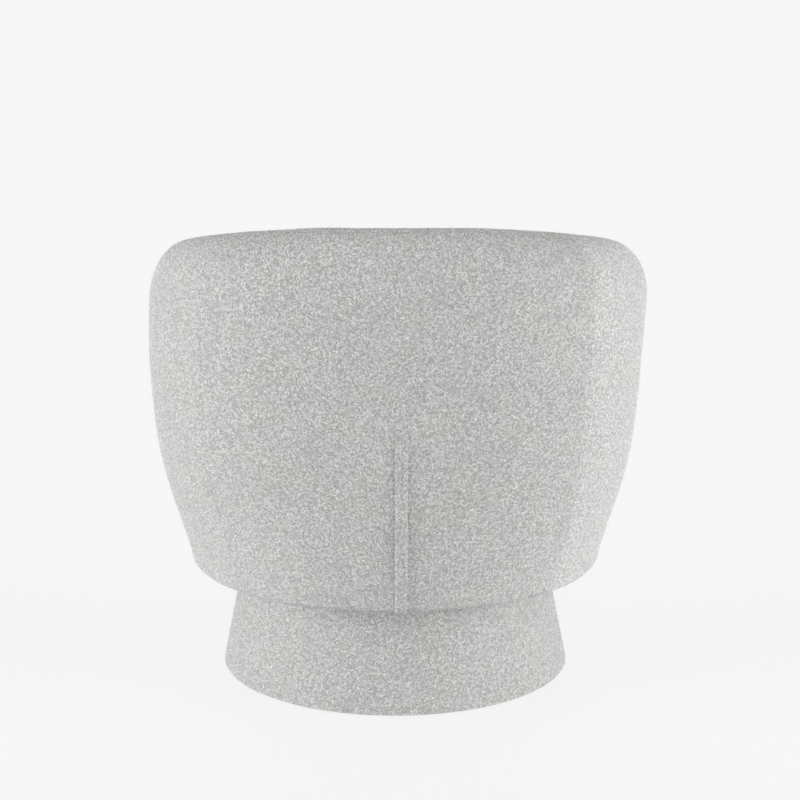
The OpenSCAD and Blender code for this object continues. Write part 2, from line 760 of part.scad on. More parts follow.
module cushion_top_cover() color(wool)
  skin(
    cushion_grid(edge_degs, top_shares, 0, true),
    cushion_grid(edge_degs, top_shares, cover_t, true),
    closed = true, pole = [[0, 0, cushion_top_z], [0, 0, cushion_top_z - cover_t]]
  );

module cushion_border() color(wool)
  skin(
    cushion_grid(border_degs, [], 0, true),
    cushion_grid(border_degs, [], cover_t, true),
    closed = true
  );

module cushion_under_cover() color(wool)
  skin(
    cushion_grid([for (f = edge_degs) -f], under_cover_shares, cover_t, false),
    cushion_grid([for (f = edge_degs) -f], under_cover_shares, 0, false),
    closed = true, pole = [[0, 0, cushion_low_z + cover_t], [0, 0, cushion_low_z]]
  );

// Plinth
function plinth_r(z) = lerp(plinth_w, plinth_top_w, z / plinth_h) / 2;
module plinth_shell(d1, d2, z1, z2) {
  rotate_extrude() polygon([
    [plinth_r(z1) - d1, z1], [plinth_r(z2) - d1, z2],
    [plinth_r(z2) - d2, z2], [plinth_r(z1) - d2, z1]
  ]);
}

module plinth_cover() color(wool)
  rotate_extrude() polygon([
    [plinth_r(glide_h) - hem_w, glide_h],
    [plinth_r(glide_h) - plinth_edge, glide_h],
    [plinth_r(glide_h) - plinth_edge / 3, glide_h + plinth_edge / 4],
    [plinth_r(glide_h + plinth_edge), glide_h + plinth_edge],
    [plinth_r(plinth_h - plinth_edge), plinth_h - plinth_edge],
    [plinth_r(plinth_h) - plinth_edge / 4, plinth_h - plinth_edge / 4],
    [plinth_r(plinth_h) - plinth_edge, plinth_h],
    [plinth_lip_r - cover_t, plinth_h],
    [plinth_lip_r - cover_t, swivel_z + fit_gap],
    [plinth_lip_r, swivel_z + fit_gap],
    [plinth_lip_r, plinth_h - cover_t],
    [plinth_r(plinth_h) - plinth_edge - cover_t / 4, plinth_h - cover_t],
    [plinth_r(plinth_h - plinth_edge) - cover_t, plinth_h - plinth_edge],
    [plinth_r(glide_h + plinth_edge) - cover_t, glide_h + plinth_edge],
    [plinth_r(glide_h) - plinth_edge, glide_h + cover_t],
    [plinth_r(glide_h) - hem_w, glide_h + cover_t]
  ]);

module plinth_wadding() color(fibre)
  plinth_shell(
    wadding_d, wadding_d + wadding_t,
    glide_h + plinth_edge, plinth_h - plinth_edge
  );

module plinth_wall() color(board)
  plinth_shell(
    plinth_wall_d, plinth_wall_d + plinth_wall_t,
    floor_ring_z, plinth_h - cover_t - fit_gap
  );

module plinth_floor_ring() color(birch)
  difference() {
    translate([0, 0, floor_ring_z])
      cylinder(h = ply_t, r = plinth_r(floor_ring_z + ply_t) - plinth_wall_d - plinth_wall_t - fit_gap);
    translate([0, 0, floor_ring_z - overrun])
      cylinder(h = ply_t + 2 * overrun, r = floor_ring_hole_r);
    glide_places() translate([0, 0, floor_ring_z - overrun])
      cylinder(h = glide_nail_l + overrun, r = glide_nail_r + pilot_play);
  }

module plinth_top_board() color(birch)
  difference() {
    translate([0, 0, plinth_board_z])
      cylinder(h = ply_t, r = plinth_r(plinth_board_z + ply_t) - plinth_wall_d - plinth_wall_t - fit_gap);
    translate([0, 0, plinth_board_z - overrun]) cylinder(h = ply_t + 2 * overrun, r = board_hole_r);
    plate_screw_places() translate([0, 0, swivel_z - plate_screw_l])
      cylinder(h = plate_screw_l + overrun, r = pilot_r);
  }

module plinth_posts() color(birch)
  for (i = [0 : post_count - 1])
    rotate([0, 0, (i + 0.5) * 360 / post_count])
      translate([plinth_post_r - plinth_post_w / 2, -plinth_post_w / 2, floor_ring_z + ply_t])
        cube([plinth_post_w, plinth_post_w, plinth_board_z - floor_ring_z - ply_t]);

module plinth_dust_cloth() color(black)
  translate([0, 0, floor_ring_z - cloth_t])
    cylinder(h = cloth_t, r = glide_ring_r - glide_r - fit_gap);

module glide_places() {
  for (i = [0 : glide_count - 1]) at_angle(i * 360 / glide_count, glide_ring_r, 0) children();
}

module floor_glides() color(black)
  glide_places() {
    cylinder(h = floor_ring_z, r1 = glide_r - glide_taper, r2 = glide_r);
    cylinder(h = floor_ring_z + glide_nail_l - fit_gap, r = glide_nail_r);
  }

// Swivel: two pressed plates, a ball race between them and a hollow rivet
module plate_screw_places() {
  for (x = [-1, 1], y = [-1, 1]) translate([x * plate_screw_x, y * plate_screw_x, 0]) children();
}

module plate_outline() {
  difference() {
    union() {
      square([plate_w, plate_w - 2 * plate_corner_r], center = true);
      square([plate_w - 2 * plate_corner_r, plate_w], center = true);
      for (x = [-1, 1], y = [-1, 1])
        translate([x, y] * (plate_w / 2 - plate_corner_r)) circle(r = plate_corner_r);
    }
    plate_screw_places() circle(r = screw_r + 2 * pilot_play);
    circle(r = pivot_r + pivot_play);
  }
}

// The race stands on the plate and holds the balls in a round groove
module race() {
  rotate_extrude() difference() {
    translate([race_w / 2 - race_rim_w, plate_t])
      square([2 * race_rim_w, swivel_h / 2 - plate_t - race_gap]);
    translate([race_w / 2, swivel_h / 2]) circle(r = ball_w / 2 + ball_play);
  }
}

module swivel_plate() {
  linear_extrude(plate_t) plate_outline();
  race();
}

module swivel_lower_plate() color(steel) translate([0, 0, swivel_z]) swivel_plate();
module swivel_upper_plate() color(steel)
  translate([0, 0, swivel_z + swivel_h]) mirror([0, 0, 1]) swivel_plate();

module swivel_balls() color(steel)
  for (i = [0 : ball_count - 1])
    at_angle(i * 360 / ball_count, race_w / 2, ball_z) sphere(r = ball_w / 2);

module swivel_ball_cage() color(black)
  translate([0, 0, ball_z - cage_t / 2]) linear_extrude(cage_t) difference() {
    circle(r = race_w / 2 + race_rim_w);
    circle(r = race_w / 2 - race_rim_w);
    for (i = [0 : ball_count - 1])
      rotate(i * 360 / ball_count) translate([0, race_w / 2]) circle(r = ball_w / 2 + cage_play);
  }

module swivel_pivot() color(steel)
  translate([0, 0, swivel_z]) rotate_extrude() polygon([
    [pivot_bore_r, -pivot_flange_t], [pivot_flange_r, -pivot_flange_t], [pivot_flange_r, 0],
    [pivot_r, 0], [pivot_r, swivel_h + pivot_lift], [pivot_flange_r, swivel_h + pivot_lift],
    [pivot_flange_r, swivel_h + pivot_lift + pivot_flange_t],
    [pivot_bore_r, swivel_h + pivot_lift + pivot_flange_t]
  ]);

module lower_plate_screws() color(steel)
  plate_screw_places() translate([0, 0, swivel_z + plate_t]) mirror([0, 0, 1])
    screw(plate_t + plate_screw_l - fit_gap);

module upper_plate_screws() color(steel)
  plate_screw_places() translate([0, 0, board_z - plate_t])
    screw(plate_t + plate_screw_l - fit_gap);

floor_glides();
plinth_floor_ring();
plinth_posts();
plinth_top_board();
plinth_wall();
plinth_wadding();
plinth_cover();
plinth_dust_cloth();
swivel_lower_plate();
lower_plate_screws();
swivel_ball_cage();
swivel_balls();
swivel_pivot();
swivel_upper_plate();
upper_plate_screws();
tub_base_board();
tub_dust_cloth();
back_ribs();
arm_posts();
front_ribs();
rib_screws();
seat_ring();
top_rail();
seat_webbing_long();
seat_webbing_cross();
seat_felt();
outer_liner();
inner_liner();
front_liner();
outer_wadding();
back_foam();
arm_foam_left();
arm_foam_right();
rim_foam();
arm_front_foam_left();
arm_front_foam_right();
front_foam();
back_cover_left();
back_cover_right();
side_cover_left();
side_cover_right();
inside_back_cover();
inside_arm_cover_left();
inside_arm_cover_right();
front_cover();
zip_tapes();
zip_coil();
zip_slider();
zip_placket();
cushion_core();
cushion_top_cover();
cushion_border();
cushion_under_cover();
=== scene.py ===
import math

import bmesh
import bpy
import numpy as np
from mathutils import Matrix, Vector


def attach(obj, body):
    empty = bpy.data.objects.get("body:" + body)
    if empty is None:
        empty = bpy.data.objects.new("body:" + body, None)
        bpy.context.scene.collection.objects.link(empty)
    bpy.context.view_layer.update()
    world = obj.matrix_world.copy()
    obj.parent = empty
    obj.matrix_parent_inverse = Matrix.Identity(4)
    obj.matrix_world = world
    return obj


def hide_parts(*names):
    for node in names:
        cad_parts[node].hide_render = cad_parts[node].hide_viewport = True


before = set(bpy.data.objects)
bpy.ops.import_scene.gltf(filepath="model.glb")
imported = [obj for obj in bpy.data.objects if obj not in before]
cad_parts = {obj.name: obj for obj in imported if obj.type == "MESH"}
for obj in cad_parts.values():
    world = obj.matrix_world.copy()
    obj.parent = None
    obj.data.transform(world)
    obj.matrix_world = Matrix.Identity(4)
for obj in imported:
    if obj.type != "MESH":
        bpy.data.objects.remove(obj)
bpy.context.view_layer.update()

# The studio: a pale sweep of floor, even light from both sides, a camera behind the chair
# The floor and the air behind it have one pale tone. Two wide soft lamps light the chair
# from left and right, two weak ones from its back and front, and the air overhead is dim.
pale_tone = (0.9216, 0.9216, 0.9216)
camera_place = Vector((0.0, 3.8, 1.3371))
camera_aim = Vector((0.0, 0.0, 0.4291))
focal_px = 2459.7
frame_px = 800
axis_px = 395.2
sensor_mm = 36
level_air = (0.53, 0.53, 0.535)
high_air = (0.32, 0.32, 0.323)
high_air_from = 0.9
floor_half = 60
floor_white = (0.9, 0.9, 0.9)
floor_glow = (0.950, 0.950, 0.950)
seen_glow_share = 0.87
fill_glow_share = 0.28

scene = bpy.context.scene
scene.view_settings.view_transform = "Standard"
camera = bpy.data.objects.new("camera", bpy.data.cameras.new("camera"))
scene.collection.objects.link(camera)
scene.camera = camera
camera.data.sensor_width = sensor_mm
camera.data.lens = focal_px / frame_px * sensor_mm
camera.data.shift_x = (frame_px / 2 - axis_px) / frame_px
camera.location = camera_place
camera.rotation_mode = "QUATERNION"
camera.rotation_quaternion = (camera_aim - camera.location).to_track_quat("-Z", "Y")
camera.data.clip_start = 0.05
camera.data.clip_end = 200


def link(tree, source, target):
    tree.links.new(source, target)


def set_inputs(node, inputs):
    """Gives a node's inputs their values; a name's underscores stand for spaces."""
    for name, value in inputs.items():
        node.inputs[name.replace("_", " ")].default_value = value


def add(tree, kind, operation=None, **inputs):
    """A new node in a tree, with values for the inputs named."""
    made = tree.nodes.new(kind)
    if operation:
        made.operation = operation
    set_inputs(made, inputs)
    return made


def fresh_material(name, **inputs):
    """A new material, its tree and its Principled shader, with values for the inputs named."""
    material = bpy.data.materials.new(name)
    material.use_nodes = True
    tree = material.node_tree
    shader = tree.nodes["Principled BSDF"]
    set_inputs(shader, inputs)
    return material, tree, shader


def two_tone(tree, source, low, high, start=0.35, end=0.65):
    """A ramp from one colour to another over a value."""
    made = add(tree, "ShaderNodeValToRGB")
    made.color_ramp.elements[0].position, made.color_ramp.elements[1].position = start, end
    made.color_ramp.elements[0].color, made.color_ramp.elements[1].color = (*low, 1), (*high, 1)
    link(tree, source, made.inputs["Fac"])
    return made


world = bpy.data.worlds.new("studio_air")
scene.world = world
world.use_nodes = True
air = world.node_tree
air.nodes.clear()
air_out = add(air, "ShaderNodeOutputWorld")
seen_air = add(air, "ShaderNodeBackground", Color=(*pale_tone, 1))
light_air = add(air, "ShaderNodeBackground", Strength=1.0)
directions = add(air, "ShaderNodeTexCoord")
split = add(air, "ShaderNodeSeparateXYZ")
link(air, directions.outputs["Generated"], split.inputs[0])
dimming = two_tone(air, split.outputs["Z"], level_air, high_air, 0.0, high_air_from)
paths = add(air, "ShaderNodeLightPath")
seen = add(air, "ShaderNodeMath", "MAXIMUM")
seen_more = add(air, "ShaderNodeMath", "MAXIMUM")
choose_air = add(air, "ShaderNodeMixShader")
link(air, dimming.outputs["Color"], light_air.inputs["Color"])
link(air, paths.outputs["Is Camera Ray"], seen.inputs[0])
link(air, paths.outputs["Is Glossy Ray"], seen.inputs[1])
link(air, seen.outputs[0], seen_more.inputs[0])
link(air, paths.outputs["Is Transmission Ray"], seen_more.inputs[1])
link(air, seen_more.outputs[0], choose_air.inputs["Fac"])
link(air, light_air.outputs[0], choose_air.inputs[1])
link(air, seen_air.outputs[0], choose_air.inputs[2])
link(air, choose_air.outputs[0], air_out.inputs["Surface"])

# Each lamp: name, degrees round from the camera's side, degrees up, energy, softness
for name, round_deg, up_deg, energy, soft_deg in (
    ("side_lamp_left", 80, 5, 3.89, 42),
    ("side_lamp_right", -80, 5, 3.79, 42),
    ("near_lamp", 0, 2, 1.43, 40),
    ("far_lamp", 180, 14, 1.6, 40),
):
    lamp = bpy.data.objects.new(name, bpy.data.lights.new(name, "SUN"))
    scene.collection.objects.link(lamp)
    lamp.data.energy = energy
    lamp.data.angle = math.radians(soft_deg)
    round_turn, up_turn = math.radians(round_deg), math.radians(up_deg)
    out = Vector((
        math.sin(round_turn) * math.cos(up_turn),
        math.cos(round_turn) * math.cos(up_turn),
        math.sin(up_turn),
    ))
    lamp.rotation_mode = "QUATERNION"
    lamp.rotation_quaternion = out.to_track_quat("Z", "Y")

floor_mesh = bpy.data.meshes.new("floor")
bm = bmesh.new()
bmesh.ops.create_grid(bm, x_segments=2, y_segments=2, size=floor_half)
bm.to_mesh(floor_mesh)
bm.free()
floor = bpy.data.objects.new("floor", floor_mesh)
scene.collection.objects.link(floor)

# The floor is a matt white that glows a little: most of all where the camera sees it, and
# some as fill light under the chair.
floor_material, tree, shader = fresh_material(
    "pale_floor", Base_Color=(*floor_white, 1), Roughness=0.9, Specular_IOR_Level=0.0
)
glow = add(tree, "ShaderNodeEmission", Color=(*floor_glow, 1))
dim = add(tree, "ShaderNodeMixShader", Fac=seen_glow_share)
fill = add(tree, "ShaderNodeMixShader", Fac=fill_glow_share)
choose = add(tree, "ShaderNodeMixShader")
paths = add(tree, "ShaderNodeLightPath")
for mixed in (dim, fill):
    link(tree, shader.outputs[0], mixed.inputs[1])
    link(tree, glow.outputs[0], mixed.inputs[2])
link(tree, paths.outputs["Is Camera Ray"], choose.inputs["Fac"])
link(tree, fill.outputs[0], choose.inputs[1])
link(tree, dim.outputs[0], choose.inputs[2])
link(tree, choose.outputs[0], tree.nodes["Material Output"].inputs["Surface"])
floor.data.materials.append(floor_material)

# The looped wool cloth of all covers
# A pale off-white cloth woven from looped yarn. Its curly loops stand about a millimetre
# high and lie in random knots, so light breaks up on it, and its hollows get painted shade.
loop_pitch = 0.0036
loop_height = 0.0016
loop_edge, loop_top = 0.75, 0.05
curls_per_loop = 0.75
curl_reach = 1.5
mesh_pitch = 0.00175
coarse_pitch = 0.021
yarns_per_m = 780.0
yarn_share = 0.80
yarn_relief = 0.0035
# The dark tone is painted shade for the hollows of the loops and of the yarn.
hollow_shade_wool = (0.392, 0.390, 0.383)
light_wool = (0.882, 0.880, 0.870)
patches_per_m = 22.0
cool_patch = (0.975, 0.98, 1.0)
warm_patch = (1.0, 0.996, 0.975)

pile_form = bpy.data.node_groups.new("looped_pile", "GeometryNodeTree")
pile_form.is_modifier = True
pile_form.interface.new_socket("Geometry", in_out="INPUT", socket_type="NodeSocketGeometry")
pile_form.interface.new_socket("Geometry", in_out="OUTPUT", socket_type="NodeSocketGeometry")
n_in = add(pile_form, "NodeGroupInput")
n_out = add(pile_form, "NodeGroupOutput")
place_at = add(pile_form, "GeometryNodeInputPosition")
curl = add(pile_form, "ShaderNodeTexNoise", Scale=curls_per_loop / loop_pitch, Detail=1.0)
centre = add(pile_form, "ShaderNodeVectorMath", "SUBTRACT")
centre.inputs[1].default_value = (0.5, 0.5, 0.5)
reach = add(pile_form, "ShaderNodeVectorMath", "SCALE", Scale=curl_reach * loop_pitch)
curled = add(pile_form, "ShaderNodeVectorMath", "ADD")
knots = add(pile_form, "ShaderNodeTexVoronoi", Scale=1 / loop_pitch)
knots.feature = "F1"
knot = add(pile_form, "ShaderNodeMapRange", From_Min=loop_edge, From_Max=loop_top)
share = add(pile_form, "GeometryNodeInputNamedAttribute", Name="pile_share")
share.data_type = "FLOAT"
rise = add(pile_form, "ShaderNodeMath", "MULTIPLY")
rise_m = add(pile_form, "ShaderNodeMath", "MULTIPLY")
rise_m.inputs[1].default_value = loop_height
outward = add(pile_form, "GeometryNodeInputNormal")
step = add(pile_form, "ShaderNodeVectorMath", "SCALE")
move = add(pile_form, "GeometryNodeSetPosition")
keep = add(pile_form, "GeometryNodeStoreNamedAttribute", Name="pile")
keep.data_type = "FLOAT"
keep.domain = "POINT"
link(pile_form, place_at.outputs[0], curl.inputs["Vector"])
link(pile_form, curl.outputs["Color"], centre.inputs[0])
link(pile_form, centre.outputs[0], reach.inputs[0])
link(pile_form, reach.outputs[0], curled.inputs[0])
link(pile_form, place_at.outputs[0], curled.inputs[1])
link(pile_form, curled.outputs[0], knots.inputs["Vector"])
link(pile_form, knots.outputs["Distance"], knot.inputs["Value"])
link(pile_form, knot.outputs[0], rise.inputs[0])
link(pile_form, share.outputs[0], rise.inputs[1])
link(pile_form, rise.outputs[0], rise_m.inputs[0])
link(pile_form, outward.outputs[0], step.inputs[0])
link(pile_form, rise_m.outputs[0], step.inputs["Scale"])
link(pile_form, n_in.outputs[0], keep.inputs["Geometry"])
link(pile_form, knot.outputs[0], keep.inputs["Value"])
link(pile_form, keep.outputs[0], move.inputs["Geometry"])
link(pile_form, step.outputs[0], move.inputs["Offset"])
link(pile_form, move.outputs[0], n_out.inputs[0])


def relief(tree, source, shader, distance, strength=0.5):
    made = add(tree, "ShaderNodeBump", Strength=strength, Distance=distance)
    link(tree, source, made.inputs["Height"])
    link(tree, made.outputs["Normal"], shader.inputs["Normal"])


def attribute(tree, name):
    made = add(tree, "ShaderNodeAttribute")
    made.attribute_name = name
    return made


def product(tree, one, other):
    """Two colours multiplied."""
    made = add(tree, "ShaderNodeMix", Factor=1.0)
    made.data_type = "RGBA"
    made.blend_type = "MULTIPLY"
    link(tree, one, made.inputs["A"])
    link(tree, other, made.inputs["B"])
    return made.outputs["Result"]


wool, tree, shader = fresh_material(
    "looped_wool", Roughness=0.92, Specular_IOR_Level=0.15, Sheen_Weight=0.25, Sheen_Roughness=0.6
)
coords = add(tree, "ShaderNodeTexCoord")
yarn = add(tree, "ShaderNodeTexNoise", Scale=yarns_per_m, Detail=0.6, Roughness=0.6)
patch = add(tree, "ShaderNodeTexNoise", Scale=patches_per_m, Detail=3.0)
for one in (yarn, patch):
    link(tree, coords.outputs["Object"], one.inputs["Vector"])
# Painted shade: the colour darkens where the loops and the yarn's fine relief sink, over a yarn tone
# that varies at random.
shade_by_height = add(tree, "ShaderNodeMix", Factor=yarn_share)
shade_by_height.data_type = "FLOAT"
link(tree, attribute(tree, "pile").outputs["Fac"], shade_by_height.inputs["A"])
link(tree, yarn.outputs["Fac"], shade_by_height.inputs["B"])
tone = two_tone(tree, shade_by_height.outputs["Result"], hollow_shade_wool, light_wool, 0.42, 0.58)
patch_tint = two_tone(tree, patch.outputs["Fac"], cool_patch, warm_patch)
tinted = product(tree, tone.outputs["Color"], patch_tint.outputs["Color"])
# Painted light and shade: each cut's colour is scaled by its nap tone, for the nap's sheen.
painted_nap_colour = product(tree, tinted, attribute(tree, "painted_nap_light").outputs["Color"])
link(tree, painted_nap_colour, shader.inputs["Base Color"])
relief(tree, yarn.outputs["Fac"], shader, yarn_relief, 1.0)


def turn_outward(mesh):
    """Turns all faces round if the mapped shape came out inside out."""
    mesh.calc_loop_triangles()
    tri = np.empty(len(mesh.loop_triangles) * 3, np.int32)
    mesh.loop_triangles.foreach_get("vertices", tri)
    p = get_points(mesh)[tri.reshape(-1, 3)]
    if np.einsum("ij,ij->i", p[:, 0], np.cross(p[:, 1], p[:, 2])).sum() < 0:
        mesh.flip_normals()


def get_points(mesh):
    flat = np.empty(len(mesh.vertices) * 3, np.float32)
    mesh.vertices.foreach_get("co", flat)
    return flat.reshape(-1, 3).astype(float)


def set_points(mesh, points):
    mesh.vertices.foreach_set("co", points.astype(np.float32).ravel())
    mesh.update()
    turn_outward(mesh)


def set_values(mesh, name, values):
    """A value for each point of a mesh, kept as an attribute."""
    made = mesh.attributes.new(name, "FLOAT", "POINT")
    made.data.foreach_set("value", values.astype(np.float32))


def new_piece(name, bm):
    """The mesh of a bmesh as a piece of the scene."""
    mesh = bpy.data.meshes.new(name)
    bm.to_mesh(mesh)
    bm.free()
    mesh.polygons.foreach_set("use_smooth", np.ones(len(mesh.polygons), bool))
    piece = bpy.data.objects.new(name, mesh)
    scene.collection.objects.link(piece)
    return piece


def slab(name, across, along, form, soften, pitch=mesh_pitch, coarse=coarse_pitch):
    """A closed pad: form(u, v, deep) gives its points, fine on the face and plain behind."""
    fine = max(1, round(coarse / pitch))
    bm = bmesh.new()
    bmesh.ops.create_grid(
        bm,
        x_segments=max(2, round(across / coarse)),
        y_segments=max(2, round(along / coarse)),
        size=0.5,
    )
    back = bmesh.ops.extrude_face_region(bm, geom=bm.faces[:])["geom"]
    moved = [g for g in back if isinstance(g, bmesh.types.BMVert)]
    bmesh.ops.translate(bm, verts=moved, vec=(0, 0, -1))
    face_edges = [e for e in bm.edges if all(v.co.z > -0.5 for v in e.verts)]
    if fine > 1:
        bmesh.ops.subdivide_edges(bm, edges=face_edges, cuts=fine - 1, use_grid_fill=True)
    bmesh.ops.recalc_face_normals(bm, faces=bm.faces[:])
    piece = new_piece(name, bm)
    flat = get_points(piece.data)
    u, v, deep = flat[:, 0] + 0.5, flat[:, 1] + 0.5, -flat[:, 2]
    points = form(u, v, deep)
    outward = form(u, v, 0 * deep) - form(u, v, 0 * deep + 1)
    outward /= np.maximum(np.linalg.norm(outward, axis=1), 1e-6)[:, None]
    set_points(piece.data, lean(points + outward * (soften(u, v) * (1 - deep))[:, None]))
    set_values(piece.data, "pile_share", 1 - deep)
    return piece


def nap(piece, tone):
    """Raises the loops of the cloth on a piece, and gives it the wool. Its tone is painted light
    and shade, a little lighter or darker over the whole cut, for the sheen that the nap gives."""
    set_values(piece.data, "painted_nap_light", np.full(len(piece.data.vertices), tone))
    raise_loops = piece.modifiers.new("loops", "NODES")
    raise_loops.node_group = pile_form
    graph = bpy.context.evaluated_depsgraph_get()
    done = bpy.data.meshes.new_from_object(piece.evaluated_get(graph))
    piece.modifiers.clear()
    old = piece.data
    piece.data = done
    bpy.data.meshes.remove(old)
    done.name = piece.name
    done.materials.clear()
    done.materials.append(wool)


def upholster(piece, body, *nodes, tone=1.0, fill=0.9):
    """Dresses a pad in the looped cloth, in place of the nodes that it stands for."""
    nap(piece, tone)
    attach(piece, body)
    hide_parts(*nodes)


def near_edge(distance, width):
    """1 on an edge, falling to 0 a few widths away."""
    return np.exp(-((np.maximum(distance, 0) / width) ** 1.5))


def smooth(k):
    """An even rise from 0 to 1 as k goes from 0 to 1."""
    return k * k * (3 - 2 * k)


def waves(u, v, seed, waves_in=6):
    """A slow, even unevenness from -1 to 1 over a panel, the same each run."""
    draw = np.random.default_rng(seed)
    total = np.zeros_like(u)
    for _ in range(waves_in):
        a, b = draw.uniform(-9, 9, 2)
        total += np.sin(a * u + b * v + draw.uniform(0, 2 * math.pi))
    return total / waves_in


# The form of the tub's wall
# The wall flares from the foot to a full belly, and its rim falls from the back to the
# arms. Its plan changes from a rounded foot to a broad oval with squarer shoulders.
half_w = 0.384
body_d = 0.730
back_h = 0.756
arm_h = 0.637
wall_t = 0.110
half_t = wall_t / 2
rim_rise = 0.084
foot_r = 0.322
foot_z = 0.181
wide_z = 0.615
side_bend = 0.299
foot_bend = 0.004
foot_round = 0.011
front_foot_round = 0.007
foot_power, wide_power = 2.15, 2.75
plan_change = 0.5
shoulder_lean = 0.0065
lean_from, lean_over = 0.50, 0.18
deck_z = 0.287
hem_w = 0.020
cover_t = 0.0025
arm_end = 124.0
nose_turn = 10.0
rim_back, rim_front = 13.0, 138.0


def side_curve(t):
    """Radius and height of the wall's outside: t is 0 at the foot and 1 where it is widest."""
    k = np.clip(t, 0, 1)
    a, b, c, d = (1 - k) ** 3, 3 * (1 - k) ** 2 * k, 3 * (1 - k) * k**2, k**3
    r = a * foot_r + b * (foot_r + foot_bend) + (c + d) * half_w
    z = (a + b) * foot_z + c * (wide_z - side_bend) + d * wide_z
    return r, z + 3 * side_bend * np.maximum(t - 1, 0)


def side_in(t):
    """The direction into the wall at t, as radius and height."""
    k = np.clip(t, 0, 1)
    dr = 3 * (1 - k) ** 2 * foot_bend + 6 * (1 - k) * k * (half_w - foot_r - foot_bend)
    dz = 6 * (1 - k) * k * (wide_z - side_bend - foot_z) + 3 * k**2 * side_bend
    size = np.hypot(dr, dz)
    return -dz / size, dr / size


t_table = np.linspace(0, 2, 8001)
z_table = side_curve(t_table)[1]
run_table = np.concatenate([[0], np.cumsum(np.hypot(*(np.diff(x) for x in side_curve(t_table))))])


def t_at(z):
    return np.interp(z, z_table, t_table)


def plan(a, z):
    """Share of the radius at angle a: a round foot that grows into a broad oval."""
    k = smooth(np.clip((z - foot_z) / (plan_change * (wide_z - foot_z)), 0, 1))
    power = foot_power + (wide_power - foot_power) * k
    depth = 1 + (body_d / (2 * half_w) - 1) * k
    a = np.radians(a)
    return (np.abs(np.sin(a)) ** power + np.abs(np.cos(a) / depth) ** power) ** (-1 / power)


def put(a, r, z):
    r = r * plan(a, z)
    return np.stack([r * np.sin(np.radians(a)), r * np.cos(np.radians(a)), z], axis=1)


def lean(points):
    """The padding stands a little fuller at one shoulder than at the other."""
    high = smooth(np.clip((points[:, 2] - lean_from) / lean_over, 0, 1))
    points[:, 0] -= shoulder_lean * high * (points[:, 0] / half_w) ** 2
    return points


def spring_t(a):
    """Where the rim's roll springs from the side, falling from the back to the arms."""
    k = np.clip((np.abs(a) - rim_back) / (rim_front - rim_back), 0, 1)
    return t_at(arm_h + (back_h - arm_h) * (1 + np.cos(np.pi * k)) / 2 - rim_rise)


deck_t = t_at(deck_z - cover_t)


def rounded_foot(r, z, edge, size):
    """The wadding rounds the cover's lower edge, where the wall turns under the foot."""
    out, down = r - (edge - size), foot_z + size - z
    corner = (out > 0) & (down > 0)
    share = np.where(corner, np.maximum(out, down) / np.maximum(np.hypot(out, down), 1e-9), 1)
    return edge - size + out * share, foot_z + size - down * share


def wall(a, e, s, d):
    """Points of the wall: a is the angle from the back's centre and e the turn round the arm
    front. s is the place on the path from the hem (-1) over the rim (1 to 2) to the deck (3),
    and d the depth under the cloth."""
    c = np.cos(np.radians(e))
    te = spring_t(a + np.sin(np.radians(e)) * nose_turn)
    t_rise = np.interp(np.clip(s, 0, 1) * np.interp(te, t_table, run_table), run_table, t_table)
    r1, z1 = side_curve(t_rise)
    in_r, in_z = side_in(np.maximum(t_rise, 1e-4))
    foot_share = (1 - c) * (1 - np.clip(s, 0, 1)) ** 4
    rise_r = r1 - half_t * (1 - c) + d * c * in_r
    rise_z = z1 + d * (c * in_z + foot_share)
    turn = np.radians(180 * np.clip(s - 1, 0, 1))
    r2, z2 = side_curve(te)
    rim_r = r2 - half_t + (half_t - d) * c * np.cos(turn)
    rim_z = z2 + (rim_rise - d) * c * np.sin(turn)
    t_fall = te + (deck_t - te) * np.clip(s - 2, 0, 1)
    r3, z3 = side_curve(t_fall)
    fall_r = r3 - half_t * (1 + c) + d * c * (-1 / side_in(t_fall)[0])
    edge = foot_r - half_t * (1 - c)
    r = np.select([s < 0, s <= 1, s <= 2], [edge + s * hem_w, rise_r, rim_r], fall_r)
    z = np.select([s < 0, s <= 1, s <= 2], [foot_z + d, rise_z, rim_z], z3)
    r, z = rounded_foot(r, z, edge, foot_round)
    a = a + np.sin(np.radians(e)) * (nose_turn - np.degrees(d / r))
    return put(a, r, z)


# The plinth's cover and padding
# A round flared drum under the chair, wrapped in one band of the same cloth over a thin
# layer of fibre. The band is turned in under the foot and down inside the top edge.
plinth_foot_r = 0.553 / 2
plinth_top_r = 0.482 / 2
plinth_h = 0.177
plinth_low = 0.0010
plinth_edge = 0.0032
plinth_skin = 0.0104
plinth_hem = 0.020
plinth_lip_r = 0.2255
plinth_pitch = mesh_pitch * 1.2
plinth_mid = 0.09
plinth_uneven = 0.0006


def plinth_r(z):
    return plinth_foot_r + (plinth_top_r - plinth_foot_r) * z / plinth_h


def arc(centre, size, start, turn, steps=5):
    """Points of a part of a circle in the (radius, height) plane, its angles in degrees."""
    angles = np.radians(np.linspace(start, start + turn, steps))
    return [(centre[0] + size * math.cos(x), centre[1] + size * math.sin(x)) for x in angles]


low_in = plinth_low + plinth_edge
high_in = plinth_h - plinth_edge
path = [(plinth_r(low_in) - plinth_hem, plinth_low)]
path += arc((plinth_r(low_in) - plinth_edge, low_in), plinth_edge, -90, 90)
side_rows = round((high_in - low_in) / plinth_pitch)
path += [(plinth_r(z), z) for z in np.linspace(low_in, high_in, side_rows)[1:-1]]
path += arc((plinth_r(high_in) - plinth_edge, high_in), plinth_edge, 0, 90)
path += [(plinth_lip_r, plinth_h), (plinth_lip_r, plinth_h - cover_t)]
path += [(plinth_r(high_in) - plinth_skin, plinth_h - cover_t)]
path += [(plinth_r(low_in) - plinth_skin, plinth_low + cover_t)]
path += [(plinth_r(low_in) - plinth_hem, plinth_low + cover_t)]


